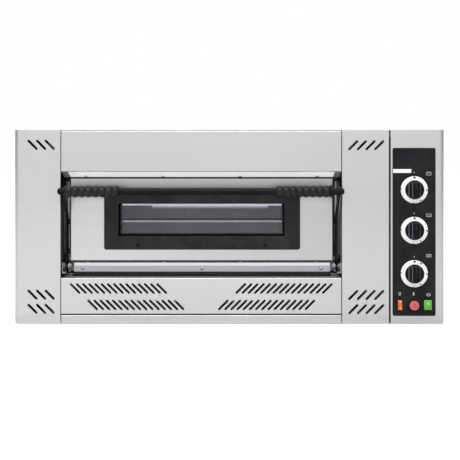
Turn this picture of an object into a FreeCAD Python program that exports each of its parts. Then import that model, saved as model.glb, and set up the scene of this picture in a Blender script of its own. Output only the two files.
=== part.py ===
import FreeCAD, Part
import math
import os
from FreeCAD import Vector

# Single-deck gas baking oven with a drop-down windowed door and a control box on the right.
# Frame: X to the right seen from the front, +Y to the back, +Z up.
# Origin: middle of the casing's footprint, on the plane the oven stands on.
# All sizes in millimetres.

os.makedirs("parts", exist_ok=True)

AXIS_X, AXIS_Y, AXIS_Z = Vector(1, 0, 0), Vector(0, 1, 0), Vector(0, 0, 1)
TO_FRONT, TO_BACK = Vector(0, -1, 0), AXIS_Y
SIDES = (-1, 1)                       # left, right

# ---------------------------------------------------------------- driving dimensions
WIDTH, DEPTH, HEIGHT = 1006.0, 840.0, 452.5
SHEET = 1.5                           # casing sheet thickness
BEND = 2.2                            # usual outer bend radius
CORNER_R = 14.0                       # rolled front corners of the casing
FRONT, BACK = -DEPTH / 2, DEPTH / 2
LEFT, RIGHT = -WIDTH / 2, WIDTH / 2
SHELL_Z = HEIGHT - SHEET              # underside of the top cover
MID_X = -65.6                         # centre line of chamber, door and recess
RECESS_HALF = 327.5                   # half width of the recess in the front
RECESS_TOP, RECESS_BOT = 356.0, 107.2
COLUMN_RIGHT = 372.8                  # right edge of the right front column
BOX_LEFT = 375.2                      # left edge of the control box
HOOD_DEPTH, HOOD_Z = 30.0, 340.7      # back edge of the sloping hood
VENT_BOT = 23.3                       # lower edge of the vent panel
RAIL_TOP = 20.8                       # upper edge of the bottom rail
FRAME_Y = FRONT + 50.0                # front frame plane
INFILL = (MID_X - RECESS_HALF + 1.2, MID_X + RECESS_HALF - 1.2)  # x span of the front infills
SLOT_TILT = 45.0                      # lean of the front vent slots, degrees

CHAMBER_W, CHAMBER_H = 610.0, 150.0   # clear width and height
CHAMBER_LEFT, CHAMBER_RIGHT = MID_X - CHAMBER_W / 2, MID_X + CHAMBER_W / 2
CHAMBER_BACK = 270.0
DECK_Z, STONE_T = 165.0, 20.0         # deck surface, stone thickness
CHAMBER_TOP = DECK_Z + CHAMBER_H

LOW_BURNER_Y, LOW_BURNER_Z = (-220.0, -50.0, 120.0), 90.0
UP_BURNER_Y, UP_BURNER_Z = (-150.0, 60.0), 352.0
LAMP_Y, LAMP_Z = 60.0, 272.0
FLUE_R, FLUE_Z, FLUE_L = 50.0, 330.0, 47.0
GAS_X, GAS_Z, GAS_R, GAS_L = 420.0, 60.0, 10.48, 24.0

DOOR_W, DOOR_BOT, DOOR_TOP = 620.0, 144.3, 337.7
DOOR_LEFT, DOOR_RIGHT = MID_X - DOOR_W / 2, MID_X + DOOR_W / 2
DOOR_FRONT, DOOR_BACK = FRONT + 22.0, FRONT + 43.5    # faces of the door skin
PIVOT_Y, PIVOT_Z, PIN_R = FRONT + 25.0, 131.0, 4.0
ARM_IN, ARM_OUT = 317.1, 320.1        # door arm faces, from the centre line
BAR_Y, BAR_Z, BAR_R = FRONT - 18.0, 310.0, 8.0

PANEL_T = 1.5
PANEL_Y = FRONT - PANEL_T             # front face of the control panel
KNOB_X = 430.0
KNOB_Z = {"upper": 313.0, "lower": 218.5, "thermostat": 117.7}
DIAL_R, KNOB_R, GRIP_H = 31.5, 22.0, 18.5
SWITCH_Z = 44.6
# centre x, bezel width, pocket width, panel opening width
SWITCHES = {"lamp": (396.6, 15.0, 9.6, 13.2),
            "power": (461.4, 23.6, 17.8, 22.2)}
BUTTON_X, BUTTON_Z = 429.6, SWITCH_Z - 0.4

# Fastener positions
HOLE_R = 2.2                          # casing screw hole
HOOD_DROP = RECESS_TOP - HOOD_Z
HOOD_NORMAL = Vector(0, -HOOD_DROP, -HOOD_DEPTH)      # out of the sloping hood
SILL_BACK, SILL_FRONT = (39.2, 137.6), (38.0, 129.5)  # depth behind the front, height
SCREW_ROW_X = [MID_X + 182.4 * k for k in (-1.5, -0.5, 0.5, 1.5)]
HOOD_SCREWS = [(x, FRONT + 24.0, RECESS_TOP - HOOD_DROP * 24.0 / HOOD_DEPTH) for x in SCREW_ROW_X]
SILL_SCREWS = [(x, FRONT + 44.3, SILL_BACK[1]) for x in SCREW_ROW_X]
RAIL_SCREWS = [(MID_X + 284.0 * k, FRONT + 38.0, 122.9) for k in (-1, 0, 1)]
BRACKET_SCREWS = {side: [(MID_X + side * 318.6, FRONT + 46.8, z) for z in (116.4, 145.0)]
                  for side in SIDES}
REAR_SCREWS = [(x, BACK, z) for x in (-490.0, -165.0, 165.0, 490.0) for z in (34.0, 436.0)]
REAR_SCREWS += [(x, BACK, 226.0) for x in (-490.0, 490.0)]
ARM_SCREW_Z = (166.0, 236.0)
ARM_SCREW_Y = FRONT + 28.5
ARM_SCREWS = {side: [(MID_X + side * ARM_OUT, ARM_SCREW_Y, z) for z in ARM_SCREW_Z]
              for side in SIDES}


# ---------------------------------------------------------------- helpers
def save(name, shape):
    """Write a piece: a lone solid as such, several as a compound."""
    solids = shape.Solids
    out = solids[0] if len(solids) == 1 else Part.makeCompound(solids)
    out.exportStep("parts/%s.step" % name)


def box(left, right, front, back, bottom, top):
    return Part.makeBox(right - left, back - front, top - bottom, Vector(left, front, bottom))


def cyl_x(x, y, z, radius, length):
    return Part.makeCylinder(radius, length, Vector(x, y, z), AXIS_X)


def cyl_y(x, y, z, radius, length):
    return Part.makeCylinder(radius, length, Vector(x, y, z), AXIS_Y)


def cyl_z(x, y, z, radius, length):
    return Part.makeCylinder(radius, length, Vector(x, y, z), AXIS_Z)


def tube_y(x, y, z, outer, inner, length):
    return cyl_y(x, y, z, outer, length).cut(cyl_y(x, y, z, inner, length))


def span(side, first, second):
    """Ordered x pair from two distances off the centre line."""
    return sorted((MID_X + side * first, MID_X + side * second))


def cyl_span(side, first, second, y, z, radius):
    left, right = span(side, first, second)
    return cyl_x(left, y, z, radius, right - left)


def fuse(shapes):
    return shapes[0].multiFuse(shapes[1:]).removeSplitter()


def group(shapes):
    return Part.makeCompound([solid for shape in shapes for solid in shape.Solids])


def cut(shape, tools):
    return shape.cut(Part.makeCompound(tools))


def edges_along(shape, axis):
    return [edge for edge in shape.Edges
            if abs(edge.tangentAt(edge.FirstParameter).dot(axis)) > 0.99]


def round_front(shape, radius, limit_y):
    """Fillet the edges that lie wholly in front of limit_y."""
    return shape.makeFillet(radius, [e for e in shape.Edges if e.BoundBox.YMax < limit_y])


def rounded_box(left, right, bottom, top, radius, front, back):
    """Box with its four Y-directed edges rounded."""
    shape = box(left, right, front, back, bottom, top)
    return shape.makeFillet(radius, edges_along(shape, AXIS_Y))


def polygon_face(points):
    return Part.Face(Part.makePolygon(points + [points[0]]))


def bent_strip(points, side, radii, to_space):
    """Bent sheet section: points is the outer line, the metal lies on its left
    (side +1) or right (side -1), and every bend has an outer radius."""
    def left_of(direction):
        return Vector(-direction.y, direction.x, 0)

    corners = [Vector(point[0], point[1], 0) for point in points]
    directions = []
    for start, end in zip(corners, corners[1:]):
        direction = end - start
        direction.normalize()
        directions.append(direction)
    offset = SHEET * side
    # Each step is a single point or the start, middle and end of an arc.
    outer = [[corners[0]]]
    inner = [[corners[0] + left_of(directions[0]) * offset]]
    for corner, before, after, radius in zip(corners[1:-1], directions, directions[1:], radii):
        turn = 1 if before.x * after.y - before.y * after.x > 0 else -1
        angle = math.acos(max(-1, min(1, before.dot(after))))
        tangent_length = radius * math.tan(angle / 2)
        start = corner - before * tangent_length
        end = corner + after * tangent_length
        centre = start + left_of(before) * (radius * turn)
        to_corner = corner - centre
        to_corner.normalize()
        outer.append([start, centre + to_corner * radius, end])
        inner.append([start + left_of(before) * offset,
                      centre + to_corner * (radius - offset * turn),
                      end + left_of(after) * offset])
    outer.append([corners[-1]])
    inner.append([corners[-1] + left_of(directions[-1]) * offset])

    edges = []
    last = corners[0]
    for step in outer + [step[::-1] for step in reversed(inner)] + [outer[0]]:
        if (step[0] - last).Length > 1e-6:
            edges.append(Part.LineSegment(to_space(last), to_space(step[0])).toShape())
        if len(step) == 3:
            edges.append(Part.Arc(*[to_space(point) for point in step]).toShape())
        last = step[-1]
    return Part.Face(Part.Wire(edges))


def sheet_xy(points, side, radii, bottom, top):
    """Upright folded sheet, its section given as (x, y)."""
    face = bent_strip(points, side, radii, lambda p: Vector(p.x, p.y, bottom))
    return face.extrude(Vector(0, 0, top - bottom))


def sheet_yz(points, side, radii, left, right):
    """Folded sheet running along X, its section given as (y, z)."""
    face = bent_strip(points, side, radii, lambda p: Vector(left, p.x, p.y))
    return face.extrude(Vector(right - left, 0, 0))


def slot_tool(x, z, length, width, tilt, front, back):
    """Round-ended slot cutter through Y, its length tilted in degrees from +X."""
    cos, sin = math.cos(math.radians(tilt)), math.sin(math.radians(tilt))
    half, radius = (length - width) / 2, width / 2

    def at(along, across):
        return Vector(x + cos * along - sin * across, front, z + sin * along + cos * across)
    corner1, corner2 = at(-half, radius), at(half, radius)
    corner3, corner4 = at(half, -radius), at(-half, -radius)
    wire = Part.Wire([Part.LineSegment(corner1, corner2).toShape(),
                      Part.Arc(corner2, at(half + radius, 0), corner3).toShape(),
                      Part.LineSegment(corner3, corner4).toShape(),
                      Part.Arc(corner4, at(-half - radius, 0), corner1).toShape()])
    return Part.Face(wire).extrude(Vector(0, back - front, 0))


def side_slot(x, y, z, inner, outer):
    """Upright louvre through a side wall, reaching from inner to outer about x."""
    slot = slot_tool(0, 0, 60, 6, 90, inner, outer)
    slot.Placement = FreeCAD.Placement(Vector(x, y, z), FreeCAD.Rotation(AXIS_Z, -90))
    return slot


def flat_slot(x, y, z, length, width, bottom, top):
    """Slot through a horizontal sheet, long in Y; bottom and top are from z."""
    slot = slot_tool(0, 0, length, width, 90, bottom, top)
    slot.Placement = FreeCAD.Placement(Vector(x, y, z), FreeCAD.Rotation(AXIS_X, 90))
    return slot


def revolve_x(profile, x, y, z, arc_start, arc_middle):
    """Solid of revolution about an X-directed axis through (x, y, z); profile is
    (x offset, radius), and the edge leaving point arc_start bulges via arc_middle."""
    points = [Vector(x + along, y, z + radius) for along, radius in profile]
    edges = []
    for i, start in enumerate(points):
        end = points[(i + 1) % len(points)]
        if i == arc_start:
            middle = Vector(x + arc_middle[0], y, z + arc_middle[1])
            edges.append(Part.Arc(start, middle, end).toShape())
        else:
            edges.append(Part.LineSegment(start, end).toShape())
    return Part.Face(Part.Wire(edges)).revolve(Vector(x, y, z), AXIS_X, 360)


def pipe(points, radius):
    """Round bar along a polyline, with a ball at every inner corner."""
    points = [Vector(*point) for point in points]
    parts = []
    for i in range(len(points) - 1):
        run = points[i + 1] - points[i]
        parts.append(Part.makeCylinder(radius, run.Length, points[i], run))
        if i:
            parts.append(Part.makeSphere(radius, points[i]))
    return fuse(parts)


def screw_holes(positions, outward, radius, depth, clearance=3.0):
    """Drills from clearance outside each position to depth inside it."""
    outward = Vector(outward)
    outward.normalize()
    return [Part.makeCylinder(radius, depth + clearance, Vector(*position) + outward * clearance,
                              outward * -1) for position in positions]


def arm_screw_holes(side, radius, depth):
    return screw_holes(ARM_SCREWS[side], AXIS_X * side, radius, depth)


def make_screw(head_r, head_h, shank_l, shank_r=2.0):
    """Pan head screw: head above z = 0, shank below, cross recess."""
    points = [Vector(0, 0, -shank_l), Vector(shank_r, 0, -shank_l), Vector(shank_r, 0, 0),
              Vector(head_r, 0, 0), Vector(head_r, 0, head_h * 0.35)]
    crown, dome = Vector(0, 0, head_h), Vector(head_r * 0.62, 0, head_h * 0.86)
    edges = [Part.LineSegment(points[i], points[i + 1]).toShape() for i in range(4)]
    edges.append(Part.Arc(points[4], dome, crown).toShape())
    edges.append(Part.LineSegment(crown, points[0]).toShape())
    body = Part.Face(Part.Wire(edges)).revolve(Vector(0, 0, 0), AXIS_Z, 360)
    reach, half = head_r * 0.55, head_r * 0.11
    cross = box(-reach, reach, -half, half, head_h * 0.35, head_h + 1)
    return body.cut(cross.fuse(box(-half, half, -reach, reach, head_h * 0.35, head_h + 1)))


def place_screws(screw, positions, outward):
    placed = []
    for position in positions:
        copy = screw.copy()
        copy.Placement = FreeCAD.Placement(Vector(*position), FreeCAD.Rotation(AXIS_Z, outward))
        placed.append(copy)
    return placed


# ---------------------------------------------------------------- casing
LOUVRE_Y = [150 + 22 * k for k in range(9)]
REAR_FLANGE_Y = BACK - 1.7
REAR_FLANGE_W = 20


def front_slots(xs, zs, tilt):
    return [slot_tool(x, z, 31.0, 5.8, tilt, FRONT - 1, FRONT + 3) for z in zs for x in xs]


def panel_holes(front, back):
    """Openings for knob stems, switches and button, in cover and control panel."""
    tools = [cyl_y(KNOB_X, front, z, 7.0, back - front) for z in KNOB_Z.values()]
    for x, _, _, opening in SWITCHES.values():
        tools.append(box(x - opening / 2, x + opening / 2, front, back,
                         SWITCH_Z - 14.0, SWITCH_Z + 14.0))
    tools.append(cyl_y(BUTTON_X, front, BUTTON_Z, 13.8, back - front))
    return tools


# Left front column, left side and rear flange: one folded sheet.
left_panel = sheet_xy([(MID_X - RECESS_HALF, FRAME_Y), (MID_X - RECESS_HALF, FRONT), (LEFT, FRONT),
                       (LEFT, REAR_FLANGE_Y), (LEFT + REAR_FLANGE_W, REAR_FLANGE_Y)],
                      -1, [BEND, CORNER_R, BEND], 0, SHELL_Z)
left_panel = cut(left_panel, front_slots((-458.8, -438.8, -418.8), (417.6, 68.4, 35.4), -SLOT_TILT)
                 + screw_holes([p for p in REAR_SCREWS if p[0] < -400], TO_BACK, HOLE_R, 8))
save("left_side_panel", cut(left_panel, [side_slot(LEFT, y, 90, -2, 4) for y in LOUVRE_Y]))

# Right front column between the recess and the control box.
column = sheet_xy([(MID_X + RECESS_HALF, FRAME_Y), (MID_X + RECESS_HALF, FRONT),
                   (COLUMN_RIGHT, FRONT), (COLUMN_RIGHT, FRONT + 40)],
                  1, [BEND, BEND], 0, SHELL_Z)
save("right_front_column", cut(column, front_slots([288.6 + 20.15 * k for k in range(4)],
                                                   (416.4, 67.6, 34.4), SLOT_TILT)))

# Control box cover: front, right side and rear flange.
cover = sheet_xy([(BOX_LEFT, FRONT + 40), (BOX_LEFT, FRONT), (RIGHT, FRONT),
                  (RIGHT, REAR_FLANGE_Y), (RIGHT - REAR_FLANGE_W, REAR_FLANGE_Y)],
                 1, [BEND, CORNER_R, BEND], 0, SHELL_Z)
cover = cut(cover, panel_holes(FRONT - 2, FRONT + 4)
            + screw_holes([p for p in REAR_SCREWS if p[0] > 400], TO_BACK, HOLE_R, 8))
save("control_box_cover", cut(cover, [side_slot(RIGHT, y, z, -4, 2)
                                      for y in LOUVRE_Y for z in (90, 360)]))

# Top cover with a flange hanging inside each side; slots at the right rear.
top = box(LEFT, RIGHT, FRONT, BACK, SHELL_Z, HEIGHT)
top = top.makeFillet(CORNER_R, [edge for edge in edges_along(top, AXIS_Z)
                                if edge.BoundBox.YMax < FRONT + 1])
top = fuse([top] + [box(left, left + SHEET, FRONT + 30, BACK - 30, SHELL_Z - 14, SHELL_Z)
                    for left in (LEFT + 1.8, RIGHT - 3.3)])
save("top_cover", cut(top, [flat_slot(330 + 18 * k, y, HEIGHT - 4, 60, 6, -2, 8)
                            for k in range(8) for y in (250, 330)]))

# Rear panel: flue, gas and one more round hole, screw holes and upright slots.
tools = [cyl_y(MID_X, BACK - 3, FLUE_Z, FLUE_R + 0.6, 6),
         cyl_y(GAS_X, BACK - 3, GAS_Z, 11.0, 6),
         cyl_y(GAS_X + 30, BACK - 3, 140, 10.2, 6)]
tools += screw_holes(REAR_SCREWS, TO_BACK, HOLE_R, 8)
for first_x, z, count in ((-440, 60, 12), (40, 60, 12), (360, 380, 5)):
    tools += [slot_tool(first_x + 20 * k, z, 44, 6, 90, BACK - 4, BACK + 2) for k in range(count)]
save("rear_panel", cut(box(LEFT + 1, RIGHT - 1, BACK - SHEET, BACK, 2, SHELL_Z - 0.2), tools))

# Base tray with upturned edges, four corner holes and floor slots.
TRAY_LEFT, TRAY_RIGHT, TRAY_FRONT, TRAY_BACK = LEFT + 2, RIGHT - 2, FRONT + 50.4, BACK - 4
base = fuse([box(TRAY_LEFT, TRAY_RIGHT, TRAY_FRONT, TRAY_BACK, 0, SHEET),
             box(TRAY_LEFT, TRAY_LEFT + SHEET, TRAY_FRONT, TRAY_BACK, 0, 22),
             box(TRAY_RIGHT - SHEET, TRAY_RIGHT, TRAY_FRONT, TRAY_BACK, 0, 22),
             box(TRAY_LEFT, TRAY_RIGHT, TRAY_FRONT, TRAY_FRONT + SHEET, 0, 18),
             box(TRAY_LEFT, TRAY_RIGHT, TRAY_BACK - SHEET, TRAY_BACK, 0, 22)])
tools = [cyl_z(x, y, -1, 4.5, 4) for x in (-440, 440) for y in (-340, 340)]
tools += [flat_slot(-300 + 52 * k, y, 0, 70, 8, -2, 6) for k in range(10) for y in (-160, 40, 220)]
save("base_tray", cut(base, tools))

# Bottom rail: a channel below the vent panel, open to the back.
save("bottom_rail", sheet_yz([(FRONT + 15, RAIL_TOP), (FRONT, RAIL_TOP), (FRONT, 0), (FRAME_Y, 0)],
                             1, [BEND, BEND], *INFILL))

# Upper fascia with its hood folded back and down.
fascia = sheet_yz([(FRONT + 22, SHELL_Z - 0.3), (FRONT, SHELL_Z - 0.3), (FRONT, RECESS_TOP),
                   (FRONT + HOOD_DEPTH, HOOD_Z), (FRAME_Y - 0.2, HOOD_Z)],
                  1, [BEND, 2.6, BEND], *INFILL)
save("upper_fascia", cut(fascia, screw_holes(HOOD_SCREWS, HOOD_NORMAL, HOLE_R, 6)))

# Vent panel; its top edge is folded back as the recess floor.
vent = sheet_yz([(FRAME_Y - 0.3, RECESS_BOT), (FRONT, RECESS_BOT), (FRONT, VENT_BOT),
                 (FRONT + 15, VENT_BOT)], 1, [BEND, BEND], *INFILL)
VENT_ROWS = ((293.8, 82.7), (253.2, 44.5))    # outermost slot from the centre line, height
save("vent_panel", cut(vent, [
    slot_tool(MID_X + side * (outermost - 14.4 * k), z, 32.8, 5.2, side * SLOT_TILT,
              FRONT - 1, FRONT + 3)
    for k in range(15) for side in SIDES for outermost, z in VENT_ROWS]))

# Front frame around the chamber mouth.
frame = box(MID_X - RECESS_HALF - 10, MID_X + RECESS_HALF + 10, FRAME_Y, FRAME_Y + 2, 104, 440)
frame = frame.cut(rounded_box(MID_X - 302, MID_X + 302, DECK_Z, CHAMBER_TOP, 5,
                              FRAME_Y - 1, FRAME_Y + 4))
save("front_frame", cut(frame, screw_holes(BRACKET_SCREWS[-1] + BRACKET_SCREWS[1],
                                           TO_FRONT, HOLE_R, 8)))

# Hinge rail under the door: narrow shelf, sloping sill, upright with screws, sloping toe.
rail = sheet_yz([(FRAME_Y - 0.05, 127.0), (FRAME_Y - 0.05, SILL_BACK[1]),
                 (FRONT + SILL_BACK[0], SILL_BACK[1]), (FRONT + SILL_FRONT[0], SILL_FRONT[1]),
                 (FRONT + 38.0, 115.3), (FRONT + 20.8, 109.0)],
                1, [BEND, BEND, BEND, 1.0], MID_X - 306, MID_X + 306)
save("hinge_rail", cut(rail, screw_holes(SILL_SCREWS, AXIS_Z, HOLE_R, 5)
                       + screw_holes(RAIL_SCREWS, TO_FRONT, HOLE_R, 7)))

# ---------------------------------------------------------------- hinges
CLEVIS_OUT, CLEVIS_IN = (325.9, 322.9), (313.9, 310.9)    # tab faces from the centre line


def clevis_tab(side, first, second):
    return fuse([box(*span(side, first, second), PIVOT_Y, FRONT + 46.9,
                     PIVOT_Z - 10, PIVOT_Z + 10),
                 cyl_span(side, first, second, PIVOT_Y, PIVOT_Z, 10)])


def hinge_bracket(side):
    """Clevis on a plate, with a stop lug for the open door."""
    plate = box(*span(side, 325.9, 308.5), FRONT + 46.8, FRAME_Y - 0.1, 110, 151)
    stop_arm = box(*span(side, *CLEVIS_OUT), FRONT + 5, PIVOT_Y, 116.6, 121.5)
    lug = box(*span(side, 323.5, ARM_IN), FRONT + 5, FRONT + 11, 116.6, 120.6)
    shape = fuse([plate, clevis_tab(side, *CLEVIS_OUT), clevis_tab(side, *CLEVIS_IN),
                  stop_arm, lug])
    shape = shape.cut(cyl_span(side, 330, 300, PIVOT_Y, PIVOT_Z, PIN_R + 0.02))
    return cut(shape, screw_holes(BRACKET_SCREWS[side], TO_FRONT, HOLE_R, 8, 1))


def hinge_pin(side):
    return fuse([cyl_span(side, 326.6, 310.0, PIVOT_Y, PIVOT_Z, PIN_R),
                 cyl_span(side, 310.8, 308.9, PIVOT_Y, PIVOT_Z, 6.0)])


save("hinge_brackets", group([hinge_bracket(side) for side in SIDES]))
save("hinge_pins", group([hinge_pin(side) for side in SIDES]))

# ---------------------------------------------------------------- chamber
HOT_FRONT = FRONT + 54                # front of the parts inside the chamber
LINER_BOT = 55


def right_wall_holes(x, length):
    """Burner and lamp clearances through the layers right of the chamber."""
    return ([cyl_x(x, y, LOW_BURNER_Z, 17, length) for y in LOW_BURNER_Y]
            + [cyl_x(x, y, UP_BURNER_Z, 15, length) for y in UP_BURNER_Y]
            + [cyl_x(x, LAMP_Y, LAMP_Z, 33, length)])


# Chamber liner, open to the front and below; slots high and low in its back wall.
liner_front = FRAME_Y + 2.2
liner = box(CHAMBER_LEFT - SHEET, CHAMBER_RIGHT + SHEET, liner_front, CHAMBER_BACK + SHEET,
            LINER_BOT, CHAMBER_TOP + SHEET)
liner = liner.cut(box(CHAMBER_LEFT, CHAMBER_RIGHT, liner_front - 1, CHAMBER_BACK,
                      LINER_BOT - 1, CHAMBER_TOP))
tools = [cyl_x(CHAMBER_RIGHT - 5, y, LOW_BURNER_Z, 16.6, 12) for y in LOW_BURNER_Y]
tools.append(cyl_x(CHAMBER_RIGHT - 5, LAMP_Y, LAMP_Z, 31, 12))
tools += [slot_tool(MID_X - 108 + 36 * k, z, 26, 8, 0, CHAMBER_BACK - 3, CHAMBER_BACK + 5)
          for k in range(7) for z in (296, 124)]
save("chamber_liner", cut(liner, tools))

# Two deck stones, one behind the other, with chamfered top edges.
STONE_BACK = CHAMBER_BACK - 2
JOINT_Y = (HOT_FRONT + STONE_BACK) / 2


def deck_stone(front, back):
    stone = box(CHAMBER_LEFT + 1.5, CHAMBER_RIGHT - 1.5, front, back, DECK_Z - STONE_T, DECK_Z)
    return stone.makeChamfer(1.5, [e for e in stone.Edges if e.BoundBox.ZMin > DECK_Z - 0.1])


save("deck_stones", group([deck_stone(HOT_FRONT, JOINT_Y - 0.6),
                           deck_stone(JOINT_Y + 0.6, STONE_BACK)]))

# Angles along the side walls and a tee under the joint.
SUPPORT_TOP = DECK_Z - STONE_T - 0.1
LEDGE_BOT = SUPPORT_TOP - 3
supports = [fuse([box(*span(side, 304.8, 301.8), FRONT + 56, CHAMBER_BACK - 4,
                      SUPPORT_TOP - 21.9, SUPPORT_TOP),
                  box(*span(side, 304.8, 280.0), FRONT + 56, CHAMBER_BACK - 4,
                      LEDGE_BOT, SUPPORT_TOP)]) for side in SIDES]
supports.append(fuse([box(MID_X - 279.5, MID_X + 279.5, JOINT_Y - 15, JOINT_Y + 15,
                          LEDGE_BOT, SUPPORT_TOP),
                      box(MID_X - 279.5, MID_X + 279.5, JOINT_Y - 1.5, JOINT_Y + 1.5,
                          SUPPORT_TOP - 19.9, LEDGE_BOT)]))
save("stone_supports", group(supports))

# Perforated floor under the lower burners.
floor = box(CHAMBER_LEFT + 0.3, CHAMBER_RIGHT - 0.3, HOT_FRONT, CHAMBER_BACK - 0.5,
            LINER_BOT, LINER_BOT + SHEET)
save("burner_floor", cut(floor, [cyl_z(MID_X - 270 + 45 * i, -300 + 90 * j, LINER_BOT - 2, 9, 6)
                                 for i in range(13) for j in range(7)]))


def burner(y, z, radius, left, right=328, slit_count=18):
    """Burner tube closed at the left, with a collar at the right and slits on top."""
    shape = fuse([cyl_x(left, y, z, radius, right - left),
                  cyl_x(right - 14, y, z, radius + 6, 14)])
    shape = shape.cut(cyl_x(left + 3, y, z, radius - 1.8, right - left))
    first = left + 20
    pitch = (MID_X + 270 - first) / (slit_count - 1)
    return cut(shape, [box(first + pitch * i - 1.2, first + pitch * i + 1.2, y - 7, y + 7,
                           z + radius - 4, z + radius + 2) for i in range(slit_count)])


save("lower_burners", group([burner(y, LOW_BURNER_Z, 16, MID_X - 290) for y in LOW_BURNER_Y]))
# The upper burners are turned over, slits down.
save("upper_burners", group([burner(y, UP_BURNER_Z, 14, MID_X - 280)
                             .mirror(Vector(0, 0, UP_BURNER_Z), AXIS_Z) for y in UP_BURNER_Y]))

# Box over the chamber, open below, around the upper burners.
burner_box = box(MID_X - 300, MID_X + 300, FRONT + 60, 262, CHAMBER_TOP + SHEET + 1, 388)
burner_box = burner_box.cut(box(MID_X - 298.8, MID_X + 298.8, FRONT + 61.2, 260.8,
                                CHAMBER_TOP, 386.8))
burner_box = cut(burner_box, [cyl_x(MID_X + 290, y, UP_BURNER_Z, 14.6, 20) for y in UP_BURNER_Y])
save("upper_burner_box", cut(burner_box, [box(MID_X - 120, MID_X + 120, 255, 270, 345, 375)]))

# Mineral wool left, right and on top of the hot box, and two pads behind it.
WOOL_FRONT, WOOL_BACK = FRONT + 56, 268
wool_right = box(MID_X + 308, MID_X + 328.4, WOOL_FRONT, WOOL_BACK, 58, 385)
save("insulation_blankets", group([
    box(MID_X - 372, MID_X - 308, WOOL_FRONT, WOOL_BACK, 58, 385),
    cut(wool_right, right_wall_holes(MID_X + 300, 40)),
    box(MID_X - 372, MID_X + 328.4, WOOL_FRONT, WOOL_BACK, 390, 446),
    box(MID_X - 306, MID_X - 154, 274, 330, 58, 400),
    box(MID_X + 154, MID_X + 306, 274, 330, 58, 400)]))

# Flue plenum behind the chamber, open towards it, and the rear spigot.
PLENUM_BACK = 335
plenum = box(MID_X - 150, MID_X + 150, CHAMBER_BACK + SHEET + 1, PLENUM_BACK, 100, 396)
plenum = plenum.cut(box(MID_X - 148.5, MID_X + 148.5, CHAMBER_BACK, PLENUM_BACK - SHEET,
                        101.5, 394.5))
save("flue_plenum", plenum.cut(cyl_y(MID_X, PLENUM_BACK - 5, FLUE_Z, FLUE_R - 1.5, 10)))
# start y, outer radius, inner radius, length
SPIGOT_TUBES = ((PLENUM_BACK + 0.2, FLUE_R - 0.8, FLUE_R - 2.3, BACK + 3.8 - PLENUM_BACK),
                (BACK + 0.02, FLUE_R + 9, FLUE_R - 2.3, 2.0),
                (BACK + 4, FLUE_R, FLUE_R - 2.3, 1.5),
                (BACK + 4, FLUE_R, FLUE_R - 1.5, FLUE_L - 4))
save("flue_spigot", fuse([tube_y(MID_X, y, FLUE_Z, outer, inner, length)
                          for y, outer, inner, length in SPIGOT_TUBES]))

# Partition between the hot box and the control compartment.
PARTITION_X = MID_X + RECESS_HALF + SHEET + 0.3
save("partition_panel", cut(box(PARTITION_X, PARTITION_X + SHEET, HOT_FRONT, BACK - 12, 24, 434),
                            right_wall_holes(PARTITION_X - 5, 12)))

# Chamber lamp in the right wall.
lamp_x = CHAMBER_RIGHT + SHEET + 0.6
lamp = cyl_x(lamp_x, LAMP_Y, LAMP_Z, 32, 62).cut(cyl_x(lamp_x - 1, LAMP_Y, LAMP_Z, 29.5, 60))
save("lamp_housing", fuse([lamp, cyl_x(lamp_x + 62, LAMP_Y, LAMP_Z, 14, 16),
                           cyl_x(lamp_x + 40, LAMP_Y, LAMP_Z, 9, 22)]))
lens = cyl_x(CHAMBER_RIGHT - 2.5, LAMP_Y, LAMP_Z, 30.2, 4.3)
save("lamp_lens", lens.makeFillet(1.8, [
    e for e in lens.Edges if e.BoundBox.XMax < CHAMBER_RIGHT - 2 and e.Length > 50]))

# ---------------------------------------------------------------- gas train
MANIFOLD_X = 350.0
VALVE_Y = FRONT + 45                  # pipe connections of the valves
VALVE_OUT_X, VALVE_IN_X = 408.8, 461.2
BODY_Y = FRONT + 14                   # front of valve and thermostat stem collars
STEM_BORE = 4.06


def manifold(front, length, z, valve_z):
    feed = pipe([(VALVE_OUT_X, VALVE_Y, valve_z), (MANIFOLD_X, VALVE_Y, valve_z),
                 (MANIFOLD_X, VALVE_Y, z), (MANIFOLD_X, front + 2, z)], 5)
    return fuse([cyl_y(MANIFOLD_X, front, z, 10.5, length), feed])


def injector(y, z):
    return fuse([cyl_x(331.0, y, z, 3.2, 4.2), cyl_x(334.2, y, z, 5.5, 5.2)])


def gas_valve(z):
    shape = fuse([box(KNOB_X - 20, KNOB_X + 20, BODY_Y + 8, BODY_Y + 46, z - 19, z + 19),
                  cyl_y(KNOB_X, BODY_Y, z, 9.5, 10),
                  cyl_x(KNOB_X + 19, VALVE_Y, z, 8, 12),
                  cyl_y(KNOB_X, BODY_Y + 45, z, 14, 14)])
    return shape.cut(cyl_y(KNOB_X, BODY_Y - 1, z, STEM_BORE, 26))


save("gas_manifolds", group([manifold(-260, 420, LOW_BURNER_Z, KNOB_Z["lower"]),
                             manifold(-190, 290, UP_BURNER_Z, KNOB_Z["upper"])]))
save("gas_injectors", group([injector(y, LOW_BURNER_Z) for y in LOW_BURNER_Y]
                            + [injector(y, UP_BURNER_Z) for y in UP_BURNER_Y]))
save("gas_valves", group([gas_valve(KNOB_Z["upper"]), gas_valve(KNOB_Z["lower"])]))

# Supply pipe from the rear inlet to a riser at the right of the valves.
RISER_X, RISER_Y = 470, FRONT + 80
supply = pipe([(GAS_X, BACK - 22, GAS_Z), (GAS_X, RISER_Y, GAS_Z), (RISER_X, RISER_Y, GAS_Z),
               (RISER_X, RISER_Y, KNOB_Z["upper"]), (RISER_X, VALVE_Y, KNOB_Z["upper"]),
               (VALVE_IN_X, VALVE_Y, KNOB_Z["upper"])], 7.0)
branch = pipe([(RISER_X, RISER_Y, KNOB_Z["lower"]), (RISER_X, VALVE_Y, KNOB_Z["lower"]),
               (VALVE_IN_X, VALVE_Y, KNOB_Z["lower"])], 7.0)
save("gas_supply_pipe", fuse([supply, branch]))

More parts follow.
